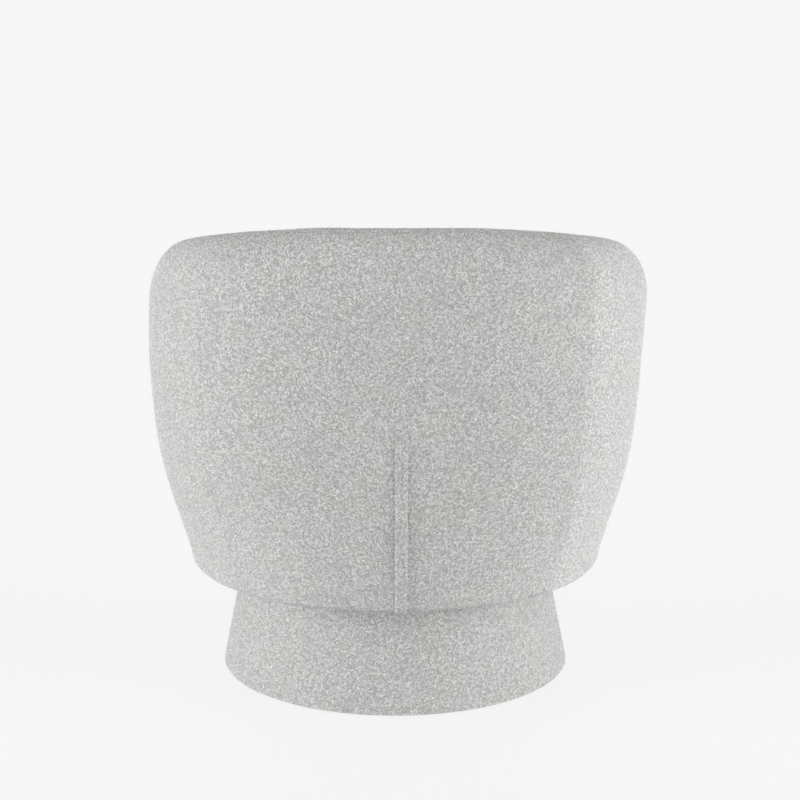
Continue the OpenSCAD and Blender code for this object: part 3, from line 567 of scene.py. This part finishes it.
def turned(name, path, steps):
    """A piece turned from a closed path of (radius, height) points."""
    bm = bmesh.new()
    ring = [bm.verts.new((0, r, z)) for r, z in path]
    chain = [bm.edges.new(pair) for pair in zip(ring, ring[1:] + ring[:1])]
    bmesh.ops.spin(
        bm, geom=ring + chain, cent=(0, 0, 0), axis=(0, 0, 1), angle=2 * math.pi,
        steps=steps, use_merge=True,
    )
    bmesh.ops.remove_doubles(bm, verts=bm.verts[:], dist=1e-6)
    bmesh.ops.dissolve_degenerate(bm, dist=1e-6, edges=bm.edges[:])
    bmesh.ops.recalc_face_normals(bm, faces=bm.faces[:])
    return new_piece(name, bm)


plinth_band = turned("plinth_band", path, round(2 * math.pi * plinth_r(plinth_mid) / plinth_pitch))
points = get_points(plinth_band.data)
r = np.hypot(points[:, 0], points[:, 1])
bearing = np.arctan2(points[:, 0], points[:, 1])
outer = np.clip(1 - (plinth_r(points[:, 2]) - r) / plinth_edge, 0, 1)
uneven = plinth_uneven * np.sin(5 * bearing + 1.0) * np.sin(np.pi * points[:, 2] / plinth_h) * outer
points[:, :2] *= (1 + uneven / r)[:, None]
set_points(plinth_band.data, points)
set_values(plinth_band.data, "pile_share", outer)
upholster(plinth_band, "plinth", "plinth_cover", "plinth_wadding")

# The outside panels of the tub's cover
# Four cut panels of the cloth over fibre wadding: two meet behind at the centre seam and
# one wraps each side and its round arm front. Seams are sewn inside out and pull in a little.
seam_angle = 44.0
seam_lap = 0.00025
seam_half = -math.degrees(seam_lap / half_w)
rim_seam_s = 1.66
outside_skin = 0.0108
hem_run, rise_run, rim_run = hem_w, 0.55, 0.16
outside_run = hem_run + rise_run + rim_run
mean_back_r, mean_side_r, nose_run = 0.375, 0.372, 0.094
back_run = math.radians(seam_angle) * mean_back_r
side_run = math.radians(arm_end - seam_angle) * mean_side_r
nose_end = 89.5
seam_depth, seam_soft = 0.0011, 0.0028
front_seam_depth, front_seam_soft = 0.0016, 0.0035
outside_uneven, inside_uneven = 0.0008, 0.0012
zip_seam_s, ease_s = 0.52, 0.04
drawn_in_back, drawn_in_side = 0.0042, 0.0030
drawn_in_s, drawn_in_w, side_drop = 0.25, 0.21, 0.09
side_from, side_over = 30, 25
# Painted light and shade for the nap's sheen: the back panels a little darker, the right side panel
# lighter.
left_back_painted_shade, right_back_painted_shade, right_side_painted_light = 0.985, 0.972, 1.09


def outside_s(v):
    """Place on the wall's path at share v up an outside panel, from the hem to the rim's seam."""
    rows = [0, hem_run, hem_run + rise_run, outside_run]
    return np.interp(v * outside_run, rows, [-1, 0, 1, rim_seam_s])


def seam_dip(distance):
    return -seam_depth * near_edge(distance, seam_soft)


def belly(a, s):
    """The wadding is drawn in a little over the foot of the wall, and more so at the sides."""
    k = smooth(np.clip((a - side_from) / side_over, 0, 1))
    drawn_in = drawn_in_back + drawn_in_side * k
    near = np.exp(-(((s - drawn_in_s + side_drop * k) / drawn_in_w) ** 2))
    return -drawn_in * near * np.clip(s / ease_s, 0, 1)


def back_panel(side):
    def form(u, v, deep):
        a = seam_half + (seam_angle - 2 * seam_half) * u
        p = wall(a, 0 * a, outside_s(v), deep * outside_skin)
        p[:, 0] *= side
        return p

    def soften(u, v):
        s = outside_s(v)
        above_zip = np.clip((s - zip_seam_s) / ease_s, 0, 1)
        lift = seam_dip((1 - u) * back_run) + 0.5 * seam_dip(u * back_run) * above_zip
        lift += seam_dip((1 - v) * outside_run)
        lift += outside_uneven * waves(u * 2, v * 3, 11 + side) * np.sin(np.pi * u)
        return lift + belly(seam_angle * u, s)

    name = f"back_panel_{'left' if side > 0 else 'right'}"
    piece = slab(name, back_run, outside_run, form, soften)
    # The tone is painted shade on the cut.
    tone = left_back_painted_shade if side > 0 else right_back_painted_shade
    upholster(piece, "tub", name.replace("panel", "cover"), "outer_wadding", tone=tone)


back_panel(1)
back_panel(-1)


def side_turn(u, first, first_run):
    """Angle and nose turn at share u across a side panel."""
    at = u * (first_run + nose_run)
    a = np.interp(at, [0, first_run], [first, arm_end])
    e = np.interp(at, [first_run, first_run + nose_run], [0, nose_end])
    return a, e


def front_seam_dip(distance):
    return -front_seam_depth * near_edge(distance, front_seam_soft)


def side_panel(side):
    across = side_run + nose_run

    def form(u, v, deep):
        a, e = side_turn(u, seam_angle + seam_half, side_run)
        p = wall(a, e, outside_s(v), deep * outside_skin)
        p[:, 0] *= side
        return p

    def soften(u, v):
        lift = seam_dip(u * across) + seam_dip((1 - v) * outside_run)
        lift += outside_uneven * waves(u * 2, v * 3, 31 + side) * np.sin(np.pi * u)
        lift += belly(side_turn(u, seam_angle, side_run)[0], outside_s(v))
        return lift + front_seam_dip((1 - u) * across)

    name = f"side_panel_{'left' if side > 0 else 'right'}"
    piece = slab(name, across, outside_run, form, soften)
    # The tone is painted light on the right side panel.
    tone = 1.0 if side > 0 else right_side_painted_light
    upholster(piece, "tub", name.replace("panel", "cover"), "outer_wadding", tone=tone)


side_panel(1)
side_panel(-1)

# The lapped zip at the centre of the back
# A band of the cloth laps over the zip that closes the cover. It runs from the hem up to
# the middle of the back, and a row of stitching raises a fine line along each edge.
zip_low, zip_high = 0.1813, 0.470
band_w = 0.019
band_under, band_rise, band_edge = 0.0004, 0.0016, 0.0016
ridge_h, ridge_in, ridge_w = 0.0009, 0.0022, 0.0013
band_t = 0.0010
band_end, end_rise = 0.004, 0.15
# The band's colour gets a little painted shade, for the nap's sheen.
band_pitch, band_coarse, band_painted_shade = 0.0012, 0.0095, 0.975
back_r = body_d / 2


def on_back(w, z, rise):
    """A point on the back of the wall, w round from its centre and rise proud of it."""
    t = t_at(z)
    r, _ = side_curve(t)
    nr, nz = side_in(np.maximum(t, 1e-3))
    p = put(-np.degrees(w / back_r), r, z)
    p[:, 1] -= nr * rise
    p[:, 2] -= nz * rise
    return p


def zip_band_form(u, v, deep):
    z = zip_low + (zip_high - zip_low) * v
    w = u * band_w
    edge = np.minimum(w, band_w - w)
    rise = band_under + band_rise * (1 - np.exp(-((edge / band_edge) ** 2)))
    rise += ridge_h * np.exp(-(((edge - ridge_in) / ridge_w) ** 2))
    rise *= np.clip((zip_high - z) / band_end, 0, 1) ** 0.5 * (1 - end_rise) + end_rise
    return on_back(w, z, rise - deep * band_t)


def flat_cloth(u, v):
    return 0 * u


zip_band = slab(
    "zip_band", band_w, zip_high - zip_low, zip_band_form, flat_cloth, band_pitch, band_coarse
)
upholster(zip_band, "tub", "zip_placket", tone=band_painted_shade)

# The inside of the tub: back pad and arm pads
# Foam pads glued to the inner boards, with the cloth drawn over them from the rim's seam
# down behind the seat cushion. They bulge softly and pull in where panels are sewn together.
inside_angle = 52.0
rim_in_run, fall_run = 0.075, 0.37
inside_run = rim_in_run + fall_run
inside_skin = 0.035
inside_r = 0.31
rim_gap_s, rim_thin_s, rim_thin_share = 0.006, 0.3, 0.3
inside_back_run = math.radians(2 * inside_angle) * inside_r
inside_side_run = math.radians(arm_end - inside_angle) * inside_r


def inside_s(v):
    rows = [0, rim_in_run, inside_run]
    return np.interp(v * inside_run, rows, [rim_seam_s + rim_gap_s, 2, 3])


def inside_depth(s, deep):
    """The pad is thinner at the rim, where it meets the outside panels."""
    return deep * inside_skin * np.clip((s - rim_seam_s) / rim_thin_s, rim_thin_share, 1)


def inside_back_form(u, v, deep):
    a = (2 * u - 1) * (inside_angle - seam_half)
    s = inside_s(v)
    return wall(a, 0 * a, s, inside_depth(s, deep))


def inside_back_soften(u, v):
    lift = seam_dip(u * inside_back_run) + seam_dip((1 - u) * inside_back_run) + seam_dip(v * inside_run)
    return lift + inside_uneven * waves(u * 3, v * 2, 51) * np.sin(np.pi * u)


inside_back = slab("inside_back_pad", inside_back_run, inside_run, inside_back_form, inside_back_soften)
upholster(inside_back, "tub", "inside_back_cover", "back_foam", "rim_foam")


def inside_arm_pad(side):
    across = inside_side_run + nose_run

    def form(u, v, deep):
        a, e = side_turn(u, inside_angle + seam_half, inside_side_run)
        s = inside_s(v)
        p = wall(a, e, s, inside_depth(s, deep))
        p[:, 0] *= side
        return p

    def soften(u, v):
        lift = seam_dip(u * across) + seam_dip(v * inside_run)
        lift += inside_uneven * waves(u * 2, v * 2, 71 + side) * np.sin(np.pi * u)
        return lift + front_seam_dip((1 - u) * across)

    word = "left" if side > 0 else "right"
    piece = slab(f"inside_arm_pad_{word}", across, inside_run, form, soften)
    nodes = (f"inside_arm_cover_{word}", f"arm_foam_{word}", f"arm_front_foam_{word}")
    upholster(piece, "tub", *nodes)


inside_arm_pad(1)
inside_arm_pad(-1)

# The front panel between the arms
# Set back behind the arm fronts, over a layer of foam: the cloth comes up from under the
# foot, rolls over the edge of the deck and runs back under the cushion.
panel_recess = 0.015
panel_edge = 0.022
panel_land = 0.070
panel_skin = 0.018
panel_gap = 0.0009
panel_t = t_at(deck_z - panel_edge)
panel_rise, panel_roll = 0.086, 0.035
panel_rows = np.cumsum([0, hem_w, panel_rise, panel_roll, panel_land])
panel_across = math.radians(360 - 2 * (arm_end + nose_turn)) * inside_r
tuck_depth, tuck_soft = 0.0030, 0.005


def panel_form(u, v, deep):
    s = np.interp(v * panel_rows[-1], panel_rows, [-1, 0, 1, 2, 3])
    d = deep * panel_skin
    t = np.interp(np.clip(s, 0, 1) * np.interp(panel_t, t_table, run_table), run_table, t_table)
    r1, z1 = side_curve(t)
    in_r, in_z = side_in(np.maximum(t, 1e-4))
    edge_r = side_curve(panel_t)[0] - panel_recess - panel_edge
    turn = np.radians(90 * np.clip(s - 1, 0, 1))
    low_r = foot_r - panel_recess + s * hem_w
    high_r = edge_r + (panel_edge - d) * np.cos(turn) - panel_land * np.maximum(s - 2, 0)
    high_z = deck_z - panel_edge + (panel_edge - d) * np.sin(turn)
    r = np.select([s < 0, s <= 1], [low_r, r1 - panel_recess + d * in_r], high_r)
    z = np.select([s < 0, s <= 1], [foot_z + d, z1 + d * in_z], high_z)
    r, z = rounded_foot(r, z, foot_r - panel_recess, front_foot_round)
    c = np.clip(1 - (side_curve(t_at(z))[0] - r) / half_t, 0, 1)
    end = arm_end + nose_turn * np.sqrt(1 - c * c) + math.degrees(panel_gap / foot_r)
    a = end + (360 - 2 * end) * u
    return put(a, r, z)


def panel_soften(u, v):
    lift = -tuck_depth * near_edge(np.minimum(u, 1 - u) * panel_across, tuck_soft)
    return lift + inside_uneven * waves(u * 3, v, 91) * np.sin(np.pi * u)


front_panel = slab("front_panel", panel_across, panel_rows[-1], panel_form, panel_soften)
upholster(front_panel, "tub", "front_cover", "front_foam")

# The loose seat cushion
# A boxed cushion of foam in a sewn cover: a crowned top, a border round the side and a
# plain underside, cut to the tub's inside and rounded at the front between the arms.
cushion_t = 0.118
cushion_mid = 0.3463
crown, crown_power = 0.028, 2.2
cushion_gap = 0.003
cushion_roll = 0.016
cushion_flare = 0.008
waist_turn, waist_nose, flare_over = 129.0, 30, 10
side_corner, front_corner = 60.0, -9.0
seam_turn = 25
roll_power = 0.75
flat_share = 0.93
top_skin, side_skin = 0.05, 0.06
skin_t = 0.020
cushion_w, cushion_d, border_round = 0.60, 0.66, 2.1
border_run = 0.085
cushion_pitch, under_pitch, cushion_coarse = mesh_pitch * 1.15, 0.008, 0.024
cushion_seam, cushion_seam_w = 0.0035, 0.0045
puckers, pucker_h, pucker_run = 170, 0.0007, 0.012
top_uneven, border_uneven = 0.0025, 0.0015


def power_mean(a, b, n):
    return (a**n + b**n) ** (1 / n)


cushion_front = body_d / 2 + cushion_roll * (1 - math.cos(math.radians(seam_turn)) ** roll_power)


def cushion_radius(turn, z):
    """The cushion's outline: inside the tub, straight between the arms, rounded in front."""
    turn = np.abs(turn)
    r = side_curve(t_at(z))[0] - cushion_gap
    inside = (r - wall_t) * plan(turn, z)
    way = np.radians(turn)
    waist_r = r - half_t * (1 + math.cos(math.radians(waist_nose))) - cushion_gap
    waist_x = waist_r * plan(waist_turn + 0 * turn, z) * math.sin(math.radians(waist_turn))
    side_x = waist_x + cushion_flare * np.clip((turn - waist_turn) / flare_over, 0, 1)
    front = cushion_front * plan(turn, z) / plan(180 + 0 * turn, z)
    straight = side_x / np.maximum(np.sin(way), side_x / (2 * front))
    side = np.where(turn < 90, inside, power_mean(inside, straight, side_corner))
    return power_mean(side, front, front_corner)


def cushion_point(x, y, f, share):
    """Points of the cushion: (x, y) is a direction in plan, f the turn over its edge from -90
    to 90 degrees, and share the way out from the middle."""
    turn = np.degrees(np.arctan2(x, y))
    lift = np.sign(f) * np.abs(np.sin(np.radians(f))) ** roll_power * cushion_t / 2
    z = cushion_mid + lift
    rolled_in = cushion_roll * (1 - np.cos(np.radians(f)) ** roll_power)
    r = (cushion_radius(turn, z) - rolled_in) * share
    z = z + np.where(f > 0, crown * (1 - share**crown_power), 0)
    return np.stack([r * np.sin(np.radians(turn)), r * np.cos(np.radians(turn)), z], axis=1)


def cushion_face(u, v, top):
    """A square's points carried to the cushion's rounded outline, the last of them rolled over
    its edge."""
    x, y = 2 * u - 1, 2 * v - 1
    dx = x * np.sqrt(np.maximum(1 - y * y / 2, 0))
    dy = y * np.sqrt(np.maximum(1 - x * x / 2, 0))
    reach = np.minimum(np.hypot(dx, dy), 1)
    share = np.clip(reach / flat_share, 0, 1)
    f = 90 - (90 - seam_turn) * np.clip((reach - flat_share) / (1 - flat_share), 0, 1)
    dx = np.where(reach < 1e-6, 1e-6, dx)
    return cushion_point(dx, dy, f if top else -f, share)


def cushion_half(name, top, pitch):
    def form(u, v, deep):
        p = cushion_face(u, v, top)
        p[:, 2] += (-1 if top else 1) * deep * skin_t
        p[:, :2] *= (1 - deep * top_skin)[:, None]
        return p

    def soften(u, v):
        if not top:
            return 0 * u
        reach = np.clip(np.maximum(np.abs(2 * u - 1), np.abs(2 * v - 1)), 0, 1)
        soft = top_uneven * waves(u * 1.5, v * 1.5, 5) * (1 - reach**4)
        return soft - cushion_seam * near_edge((1 - reach) * cushion_w / 2, cushion_seam_w)

    return slab(name, cushion_w, cushion_d, form, soften, pitch=pitch, coarse=cushion_coarse)


def border_form(u, v, deep):
    turn = np.radians(360 * u - 180)
    f = (2 * v - 1) * (seam_turn - 1)
    p = cushion_point(np.sin(turn), np.cos(turn), f, 1 + 0 * u)
    p[:, :2] *= (1 - deep * side_skin)[:, None]
    return p


def border_soften(u, v):
    low, high = v * border_run, (1 - v) * border_run
    seam = near_edge(low, cushion_seam_w) + near_edge(high, cushion_seam_w)
    pucker = pucker_h * np.sin(2 * np.pi * puckers * u) * np.exp(-np.minimum(low, high) / pucker_run)
    return -cushion_seam * seam + pucker + border_uneven * waves(u * 8, v, 7)


cushion_top = cushion_half("cushion_top", True, cushion_pitch)
cushion_under = cushion_half("cushion_under", False, under_pitch)
cushion_side = slab(
    "cushion_side", border_round, border_run, border_form, border_soften, pitch=cushion_pitch
)
upholster(cushion_top, "tub", "cushion_top_cover", "cushion_core", fill=0.8)
upholster(cushion_side, "tub", "cushion_border", fill=0.8)
upholster(cushion_under, "tub", "cushion_under_cover", fill=0.8)

# The timber frame: boards, ribs, posts and the top rail
# Birch plywood, pale and close grained. Boards that lie flat show their plies along every
# edge, and the sawn edges are a little darker. Glued and screwed, and left unvarnished.
grain = bpy.data.node_groups.new("long_grain", "ShaderNodeTree")
grain.interface.new_socket("Vector", in_out="INPUT", socket_type="NodeSocketVector")
grain.interface.new_socket("Scale", in_out="INPUT", socket_type="NodeSocketFloat")
grain.interface.new_socket("Fac", in_out="OUTPUT", socket_type="NodeSocketFloat")
g_in = add(grain, "NodeGroupInput")
g_out = add(grain, "NodeGroupOutput")
drawn = add(grain, "ShaderNodeMapping", Scale=(0.06, 1.0, 0.4))
figure = add(grain, "ShaderNodeTexNoise", Detail=4.0, Roughness=0.65, Distortion=0.6)
link(grain, g_in.outputs["Vector"], drawn.inputs["Vector"])
link(grain, drawn.outputs[0], figure.inputs["Vector"])
link(grain, g_in.outputs["Scale"], figure.inputs["Scale"])
link(grain, figure.outputs["Fac"], g_out.inputs["Fac"])


ply_t = 0.0045
grain_per_m = 260
light_birch, dark_birch = (0.78, 0.63, 0.44), (0.62, 0.46, 0.29)
light_ply, dark_ply = (0.72, 0.57, 0.38), (0.36, 0.23, 0.13)


def plywood(name, plies):
    made, tree, shader = fresh_material(name, Roughness=0.62)
    coords = add(tree, "ShaderNodeTexCoord")
    wood = add(tree, "ShaderNodeGroup")
    wood.node_tree = grain
    wood.inputs["Scale"].default_value = grain_per_m
    link(tree, coords.outputs["Object"], wood.inputs["Vector"])
    colour = two_tone(tree, wood.outputs["Fac"], dark_birch, light_birch, 0.3, 0.7)
    relief(tree, wood.outputs["Fac"], shader, 0.0004)
    if not plies:
        link(tree, colour.outputs["Color"], shader.inputs["Base Color"])
        return made
    layer = add(tree, "ShaderNodeTexWave", Scale=1 / ply_t, Distortion=0.4)
    layer.bands_direction = "Z"
    link(tree, coords.outputs["Object"], layer.inputs["Vector"])
    bands = two_tone(tree, layer.outputs["Fac"], dark_ply, light_ply, 0.2, 0.45)
    parts = add(tree, "ShaderNodeSeparateXYZ")
    flat_face = add(tree, "ShaderNodeMath", "ABSOLUTE")
    link(tree, coords.outputs["Normal"], parts.inputs[0])
    link(tree, parts.outputs["Z"], flat_face.inputs[0])
    both = add(tree, "ShaderNodeMix")
    both.data_type = "RGBA"
    link(tree, flat_face.outputs[0], both.inputs["Factor"])
    link(tree, bands.outputs["Color"], both.inputs["A"])
    link(tree, colour.outputs["Color"], both.inputs["B"])
    link(tree, both.outputs["Result"], shader.inputs["Base Color"])
    return made


def dress(material, *names):
    """Gives CAD nodes a material in each of their slots."""
    for name in names:
        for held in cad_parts[name].material_slots:
            held.material = material


board = plywood("birch_ply_board", True)
upright = plywood("birch_ply_upright", False)
dress(board, "plinth_floor_ring", "plinth_top_board", "tub_base_board", "seat_ring")
dress(upright, "plinth_posts", "back_ribs", "arm_posts", "front_ribs", "top_rail")

# The bent liner boards
# Thin brown hardboard that is wrapped round the ribs and stapled to them, so that the
# padding has an even ground. Pressed wood fibre, smooth outside with a fine fleck.
liner, tree, shader = fresh_material("liner_board", Roughness=0.58)
coords = add(tree, "ShaderNodeTexCoord")
fleck = add(tree, "ShaderNodeTexNoise", Scale=900.0, Detail=3.0, Roughness=0.7)
link(tree, coords.outputs["Object"], fleck.inputs["Vector"])
colour = two_tone(tree, fleck.outputs["Fac"], (0.16, 0.095, 0.05), (0.34, 0.22, 0.13))
link(tree, colour.outputs["Color"], shader.inputs["Base Color"])
relief(tree, fleck.outputs["Fac"], shader, 0.0003, 0.4)
dress(liner, "plinth_wall", "outer_liner", "inner_liner", "front_liner")

# The swivel, the screws and the zip's slider
# Pressed steel plates with a ball race between them, screwed to the plinth's top board and
# to the tub's base board. Zinc plated, with the faint frosting of the plating.
zinc, tree, shader = fresh_material("zinc_steel", Metallic=1.0)
coords = add(tree, "ShaderNodeTexCoord")
frost = add(tree, "ShaderNodeTexVoronoi", Scale=160.0)
cloud = add(tree, "ShaderNodeTexNoise", Scale=45.0, Detail=4.0)
for one in (frost, cloud):
    link(tree, coords.outputs["Object"], one.inputs["Vector"])
colour = two_tone(tree, frost.outputs["Color"], (0.50, 0.51, 0.53), (0.68, 0.69, 0.70), 0.2, 0.8)
rough = two_tone(tree, cloud.outputs["Fac"], (0.28, 0.28, 0.28), (0.46, 0.46, 0.46))
link(tree, colour.outputs["Color"], shader.inputs["Base Color"])
link(tree, rough.outputs["Color"], shader.inputs["Roughness"])
relief(tree, cloud.outputs["Fac"], shader, 0.0002, 0.3)
dress(
    zinc, "swivel_lower_plate", "swivel_upper_plate", "swivel_balls", "swivel_pivot",
    "lower_plate_screws", "upper_plate_screws", "rib_screws", "zip_slider",
)

# The floor glides and the ball cage
# Moulded nylon, black and fine grained. The glides are nailed up into the plinth's floor
# ring, and the cage keeps the swivel's balls apart.
nylon, tree, shader = fresh_material("black_plastic")
coords = add(tree, "ShaderNodeTexCoord")
moulded = add(tree, "ShaderNodeTexNoise", Scale=1400.0, Detail=2.0)
scuff = add(tree, "ShaderNodeTexNoise", Scale=120.0, Detail=5.0)
for one in (moulded, scuff):
    link(tree, coords.outputs["Object"], one.inputs["Vector"])
colour = two_tone(tree, scuff.outputs["Fac"], (0.018, 0.018, 0.019), (0.042, 0.042, 0.043))
rough = two_tone(tree, scuff.outputs["Fac"], (0.42, 0.42, 0.42), (0.6, 0.6, 0.6))
link(tree, colour.outputs["Color"], shader.inputs["Base Color"])
link(tree, rough.outputs["Color"], shader.inputs["Roughness"])
relief(tree, moulded.outputs["Fac"], shader, 0.0003, 0.4)
dress(nylon, "floor_glides", "swivel_ball_cage")

# The dust cloths
# Black unwoven cloth stapled over the open underside of the plinth and of the tub, to keep
# dust off the frame. It is drawn tight, and hangs a hair lower between its staples.
cloth_t = 0.0006
cloth_sag = 0.0003
staples = 24
cloth_rings, cloth_steps = 12, 96
webbed = bpy.data.node_groups.new("woven_threads", "ShaderNodeTree")
webbed.interface.new_socket("Vector", in_out="INPUT", socket_type="NodeSocketVector")
webbed.interface.new_socket("Threads", in_out="INPUT", socket_type="NodeSocketFloat")
webbed.interface.new_socket("Fac", in_out="OUTPUT", socket_type="NodeSocketFloat")
w_in = add(webbed, "NodeGroupInput")
w_out = add(webbed, "NodeGroupOutput")
parts = add(webbed, "ShaderNodeSeparateXYZ")
cross = add(webbed, "ShaderNodeMath", "MULTIPLY")
share = add(webbed, "ShaderNodeMath", "MULTIPLY_ADD")
share.inputs[1].default_value = 0.5
share.inputs[2].default_value = 0.5
link(webbed, w_in.outputs["Vector"], parts.inputs[0])
for i, way in enumerate("XY"):
    turns = add(webbed, "ShaderNodeMath", "MULTIPLY")
    swing = add(webbed, "ShaderNodeMath", "SINE")
    link(webbed, parts.outputs[way], turns.inputs[0])
    link(webbed, w_in.outputs["Threads"], turns.inputs[1])
    link(webbed, turns.outputs[0], swing.inputs[0])
    link(webbed, swing.outputs[0], cross.inputs[i])
link(webbed, cross.outputs[0], share.inputs[0])
link(webbed, share.outputs[0], w_out.inputs["Fac"])


def woven(name, threads_per_m, low, high, turn=(0, 0, 0)):
    """A cloth of crossing threads, lighter where a thread lies on top."""
    made, tree, shader = fresh_material(name, Roughness=0.9, Specular_IOR_Level=0.2)
    coords = add(tree, "ShaderNodeTexCoord")
    lay = add(tree, "ShaderNodeMapping", Rotation=tuple(math.radians(x) for x in turn))
    threads = add(tree, "ShaderNodeGroup")
    threads.node_tree = webbed
    threads.inputs["Threads"].default_value = 2 * math.pi * threads_per_m
    fluff = add(tree, "ShaderNodeTexNoise", Scale=threads_per_m * 0.6, Detail=3.0)
    both = add(tree, "ShaderNodeMix", Factor=0.4)
    both.data_type = "FLOAT"
    link(tree, coords.outputs["Object"], lay.inputs["Vector"])
    link(tree, lay.outputs[0], threads.inputs["Vector"])
    link(tree, coords.outputs["Object"], fluff.inputs["Vector"])
    link(tree, threads.outputs["Fac"], both.inputs["A"])
    link(tree, fluff.outputs["Fac"], both.inputs["B"])
    colour = two_tone(tree, both.outputs["Result"], low, high, 0.25, 0.75)
    link(tree, colour.outputs["Color"], shader.inputs["Base Color"])
    relief(tree, both.outputs["Result"], shader, 0.3 / threads_per_m)
    return made


dust_cloth = woven("black_dust_cloth", 620, (0.010, 0.010, 0.011), (0.040, 0.040, 0.042))
for name, body, in_r, out_r, low_z, rests in (
    ("plinth_dust_sheet", "plinth", 0.0, 0.2157, 0.0052, "plinth_floor_ring"),
    ("tub_dust_sheet", "tub", 0.1424, 0.302, 0.1801, "tub_base_board"),
):
    radii = np.linspace(in_r, out_r, cloth_rings)
    path = [(r, low_z) for r in radii] + [(r, low_z + cloth_t) for r in radii[::-1]]
    sheet = turned(name, path, cloth_steps)
    points = get_points(sheet.data)
    r = np.hypot(points[:, 0], points[:, 1])
    turn = np.arctan2(points[:, 0], points[:, 1])
    slack = np.clip((r - in_r) / (out_r - in_r), 0, 1)
    points[:, 2] -= cloth_sag * np.sin(np.pi * slack) * (1 + 0.4 * np.sin(staples * turn))
    set_points(sheet.data, points)
    sheet.data.materials.append(dust_cloth)
    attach(sheet, body)
    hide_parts(name.replace("sheet", "cloth"))

# The seat's webbing
# Black elastic webbing, 60 mm wide, stretched over the hole of the seat ring and stapled
# down. Five straps run from front to back and four lie across them.
web_w, web_t, web_r, web_pitch = 0.060, 0.0015, 0.252, 0.088
web_z = 0.2812
web_edge = 0.0005
strap_cloth = woven("black_webbing", 420, (0.012, 0.012, 0.013), (0.060, 0.058, 0.056))


def along(edge):
    return abs(edge.verts[0].co.y - edge.verts[1].co.y)


for name, places, low_z, sideways in (
    ("webbing_long", (-2, -1, 0, 1, 2), web_z, False),
    ("webbing_cross", (-1.5, -0.5, 0.5, 1.5), web_z + web_t, True),
):
    bm = bmesh.new()
    for i in places:
        x = i * web_pitch
        half = math.sqrt(web_r**2 - (abs(x) + web_w / 2) ** 2)
        made = bmesh.ops.create_cube(bm, size=1.0)["verts"]
        bmesh.ops.scale(bm, verts=made, vec=(web_w, 2 * half, web_t))
        bmesh.ops.translate(bm, verts=made, vec=(x, 0, low_z + web_t / 2))
    lengthways = [e for e in bm.edges if along(e) > web_w]
    bmesh.ops.subdivide_edges(bm, edges=lengthways, cuts=15)
    sides = [e for e in bm.edges if along(e) > web_t and e.calc_face_angle() > 1]
    bmesh.ops.bevel(
        bm, geom=sides, offset=web_edge, segments=2, profile=0.5, affect="EDGES", material=-1
    )
    if sideways:
        bmesh.ops.rotate(bm, verts=bm.verts[:], matrix=Matrix.Rotation(math.pi / 2, 3, "Z"))
    straps = new_piece(name, bm)
    straps.data.materials.append(strap_cloth)
    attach(straps, "tub")
    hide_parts("seat_" + name)

# The felt over the webbing
# A round pad of needled felt laid over the straps, so that they don't mark the cushion.
# Pressed from mixed wool, grey and flecked.
felt, tree, shader = fresh_material("needled_felt", Roughness=0.95, Sheen_Weight=0.2)
coords = add(tree, "ShaderNodeTexCoord")
hairs = add(tree, "ShaderNodeTexNoise", Scale=520.0, Detail=5.0, Roughness=0.7, Distortion=1.5)
link(tree, coords.outputs["Object"], hairs.inputs["Vector"])
colour = two_tone(tree, hairs.outputs["Fac"], (0.13, 0.125, 0.12), (0.40, 0.385, 0.36))
link(tree, colour.outputs["Color"], shader.inputs["Base Color"])
relief(tree, hairs.outputs["Fac"], shader, 0.001)
felt_r, felt_low, felt_high = 0.230, 0.2842, 0.2866
felt_edge = 0.0004
felt_rings = 10
path = [(r, felt_low) for r in np.linspace(0, felt_r, felt_rings)]
path += [(r, felt_high) for r in np.linspace(felt_r - felt_edge, 0, felt_rings)]
felt_pad = turned("felt_pad", path, cloth_steps)
felt_pad.data.materials.append(felt)
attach(felt_pad, "tub")
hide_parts("seat_felt")

# The zip under the lapped strip
# Two woven tapes with a moulded coil between them, sewn to the edges of the back seam. The
# slider is below, at the hem, and the strip hides all of it.
zip_start, zip_stop = 0.1866, 0.4640
tooth_pitch, tooth_h = 0.0016, 0.0003
tape_pitch = 0.004
zip_under, tape_proud, coil_proud = 0.0004, 0.0009, 0.0012
tape_cloth = woven("zip_tape", 900, (0.42, 0.41, 0.40), (0.70, 0.69, 0.67), turn=(90, 0, 0))


def zip_strip(name, from_w, to_w, proud, ribbed):
    """One lengthwise strip of the zip, from_w to to_w round the back and proud of it."""

    def form(u, v, deep):
        z = zip_start + (zip_stop - zip_start) * v
        w = from_w + (to_w - from_w) * u
        rise = proud - (proud - zip_under) * deep
        if ribbed:
            crest = np.abs(np.sin(np.pi * z / tooth_pitch)) * np.sin(np.pi * u)
            rise = rise - (1 - crest) * tooth_h * (1 - deep)
        return on_back(w, z, rise)

    pitch = tooth_pitch / 4 if ribbed else tape_pitch
    piece = slab(name, to_w - from_w, zip_stop - zip_start, form, flat_cloth, pitch, 5 * pitch)
    piece.data.materials.append(tape_cloth)
    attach(piece, "tub")
    return piece


tape_left = zip_strip("zip_tape_left", 0.0010, 0.0071, tape_proud, False)
tape_right = zip_strip("zip_tape_right", 0.0119, 0.0180, tape_proud, False)
coil = zip_strip("zip_coil_teeth", 0.0075, 0.0115, coil_proud, True)
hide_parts("zip_tapes")
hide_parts("zip_coil")
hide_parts("zip_tapes")
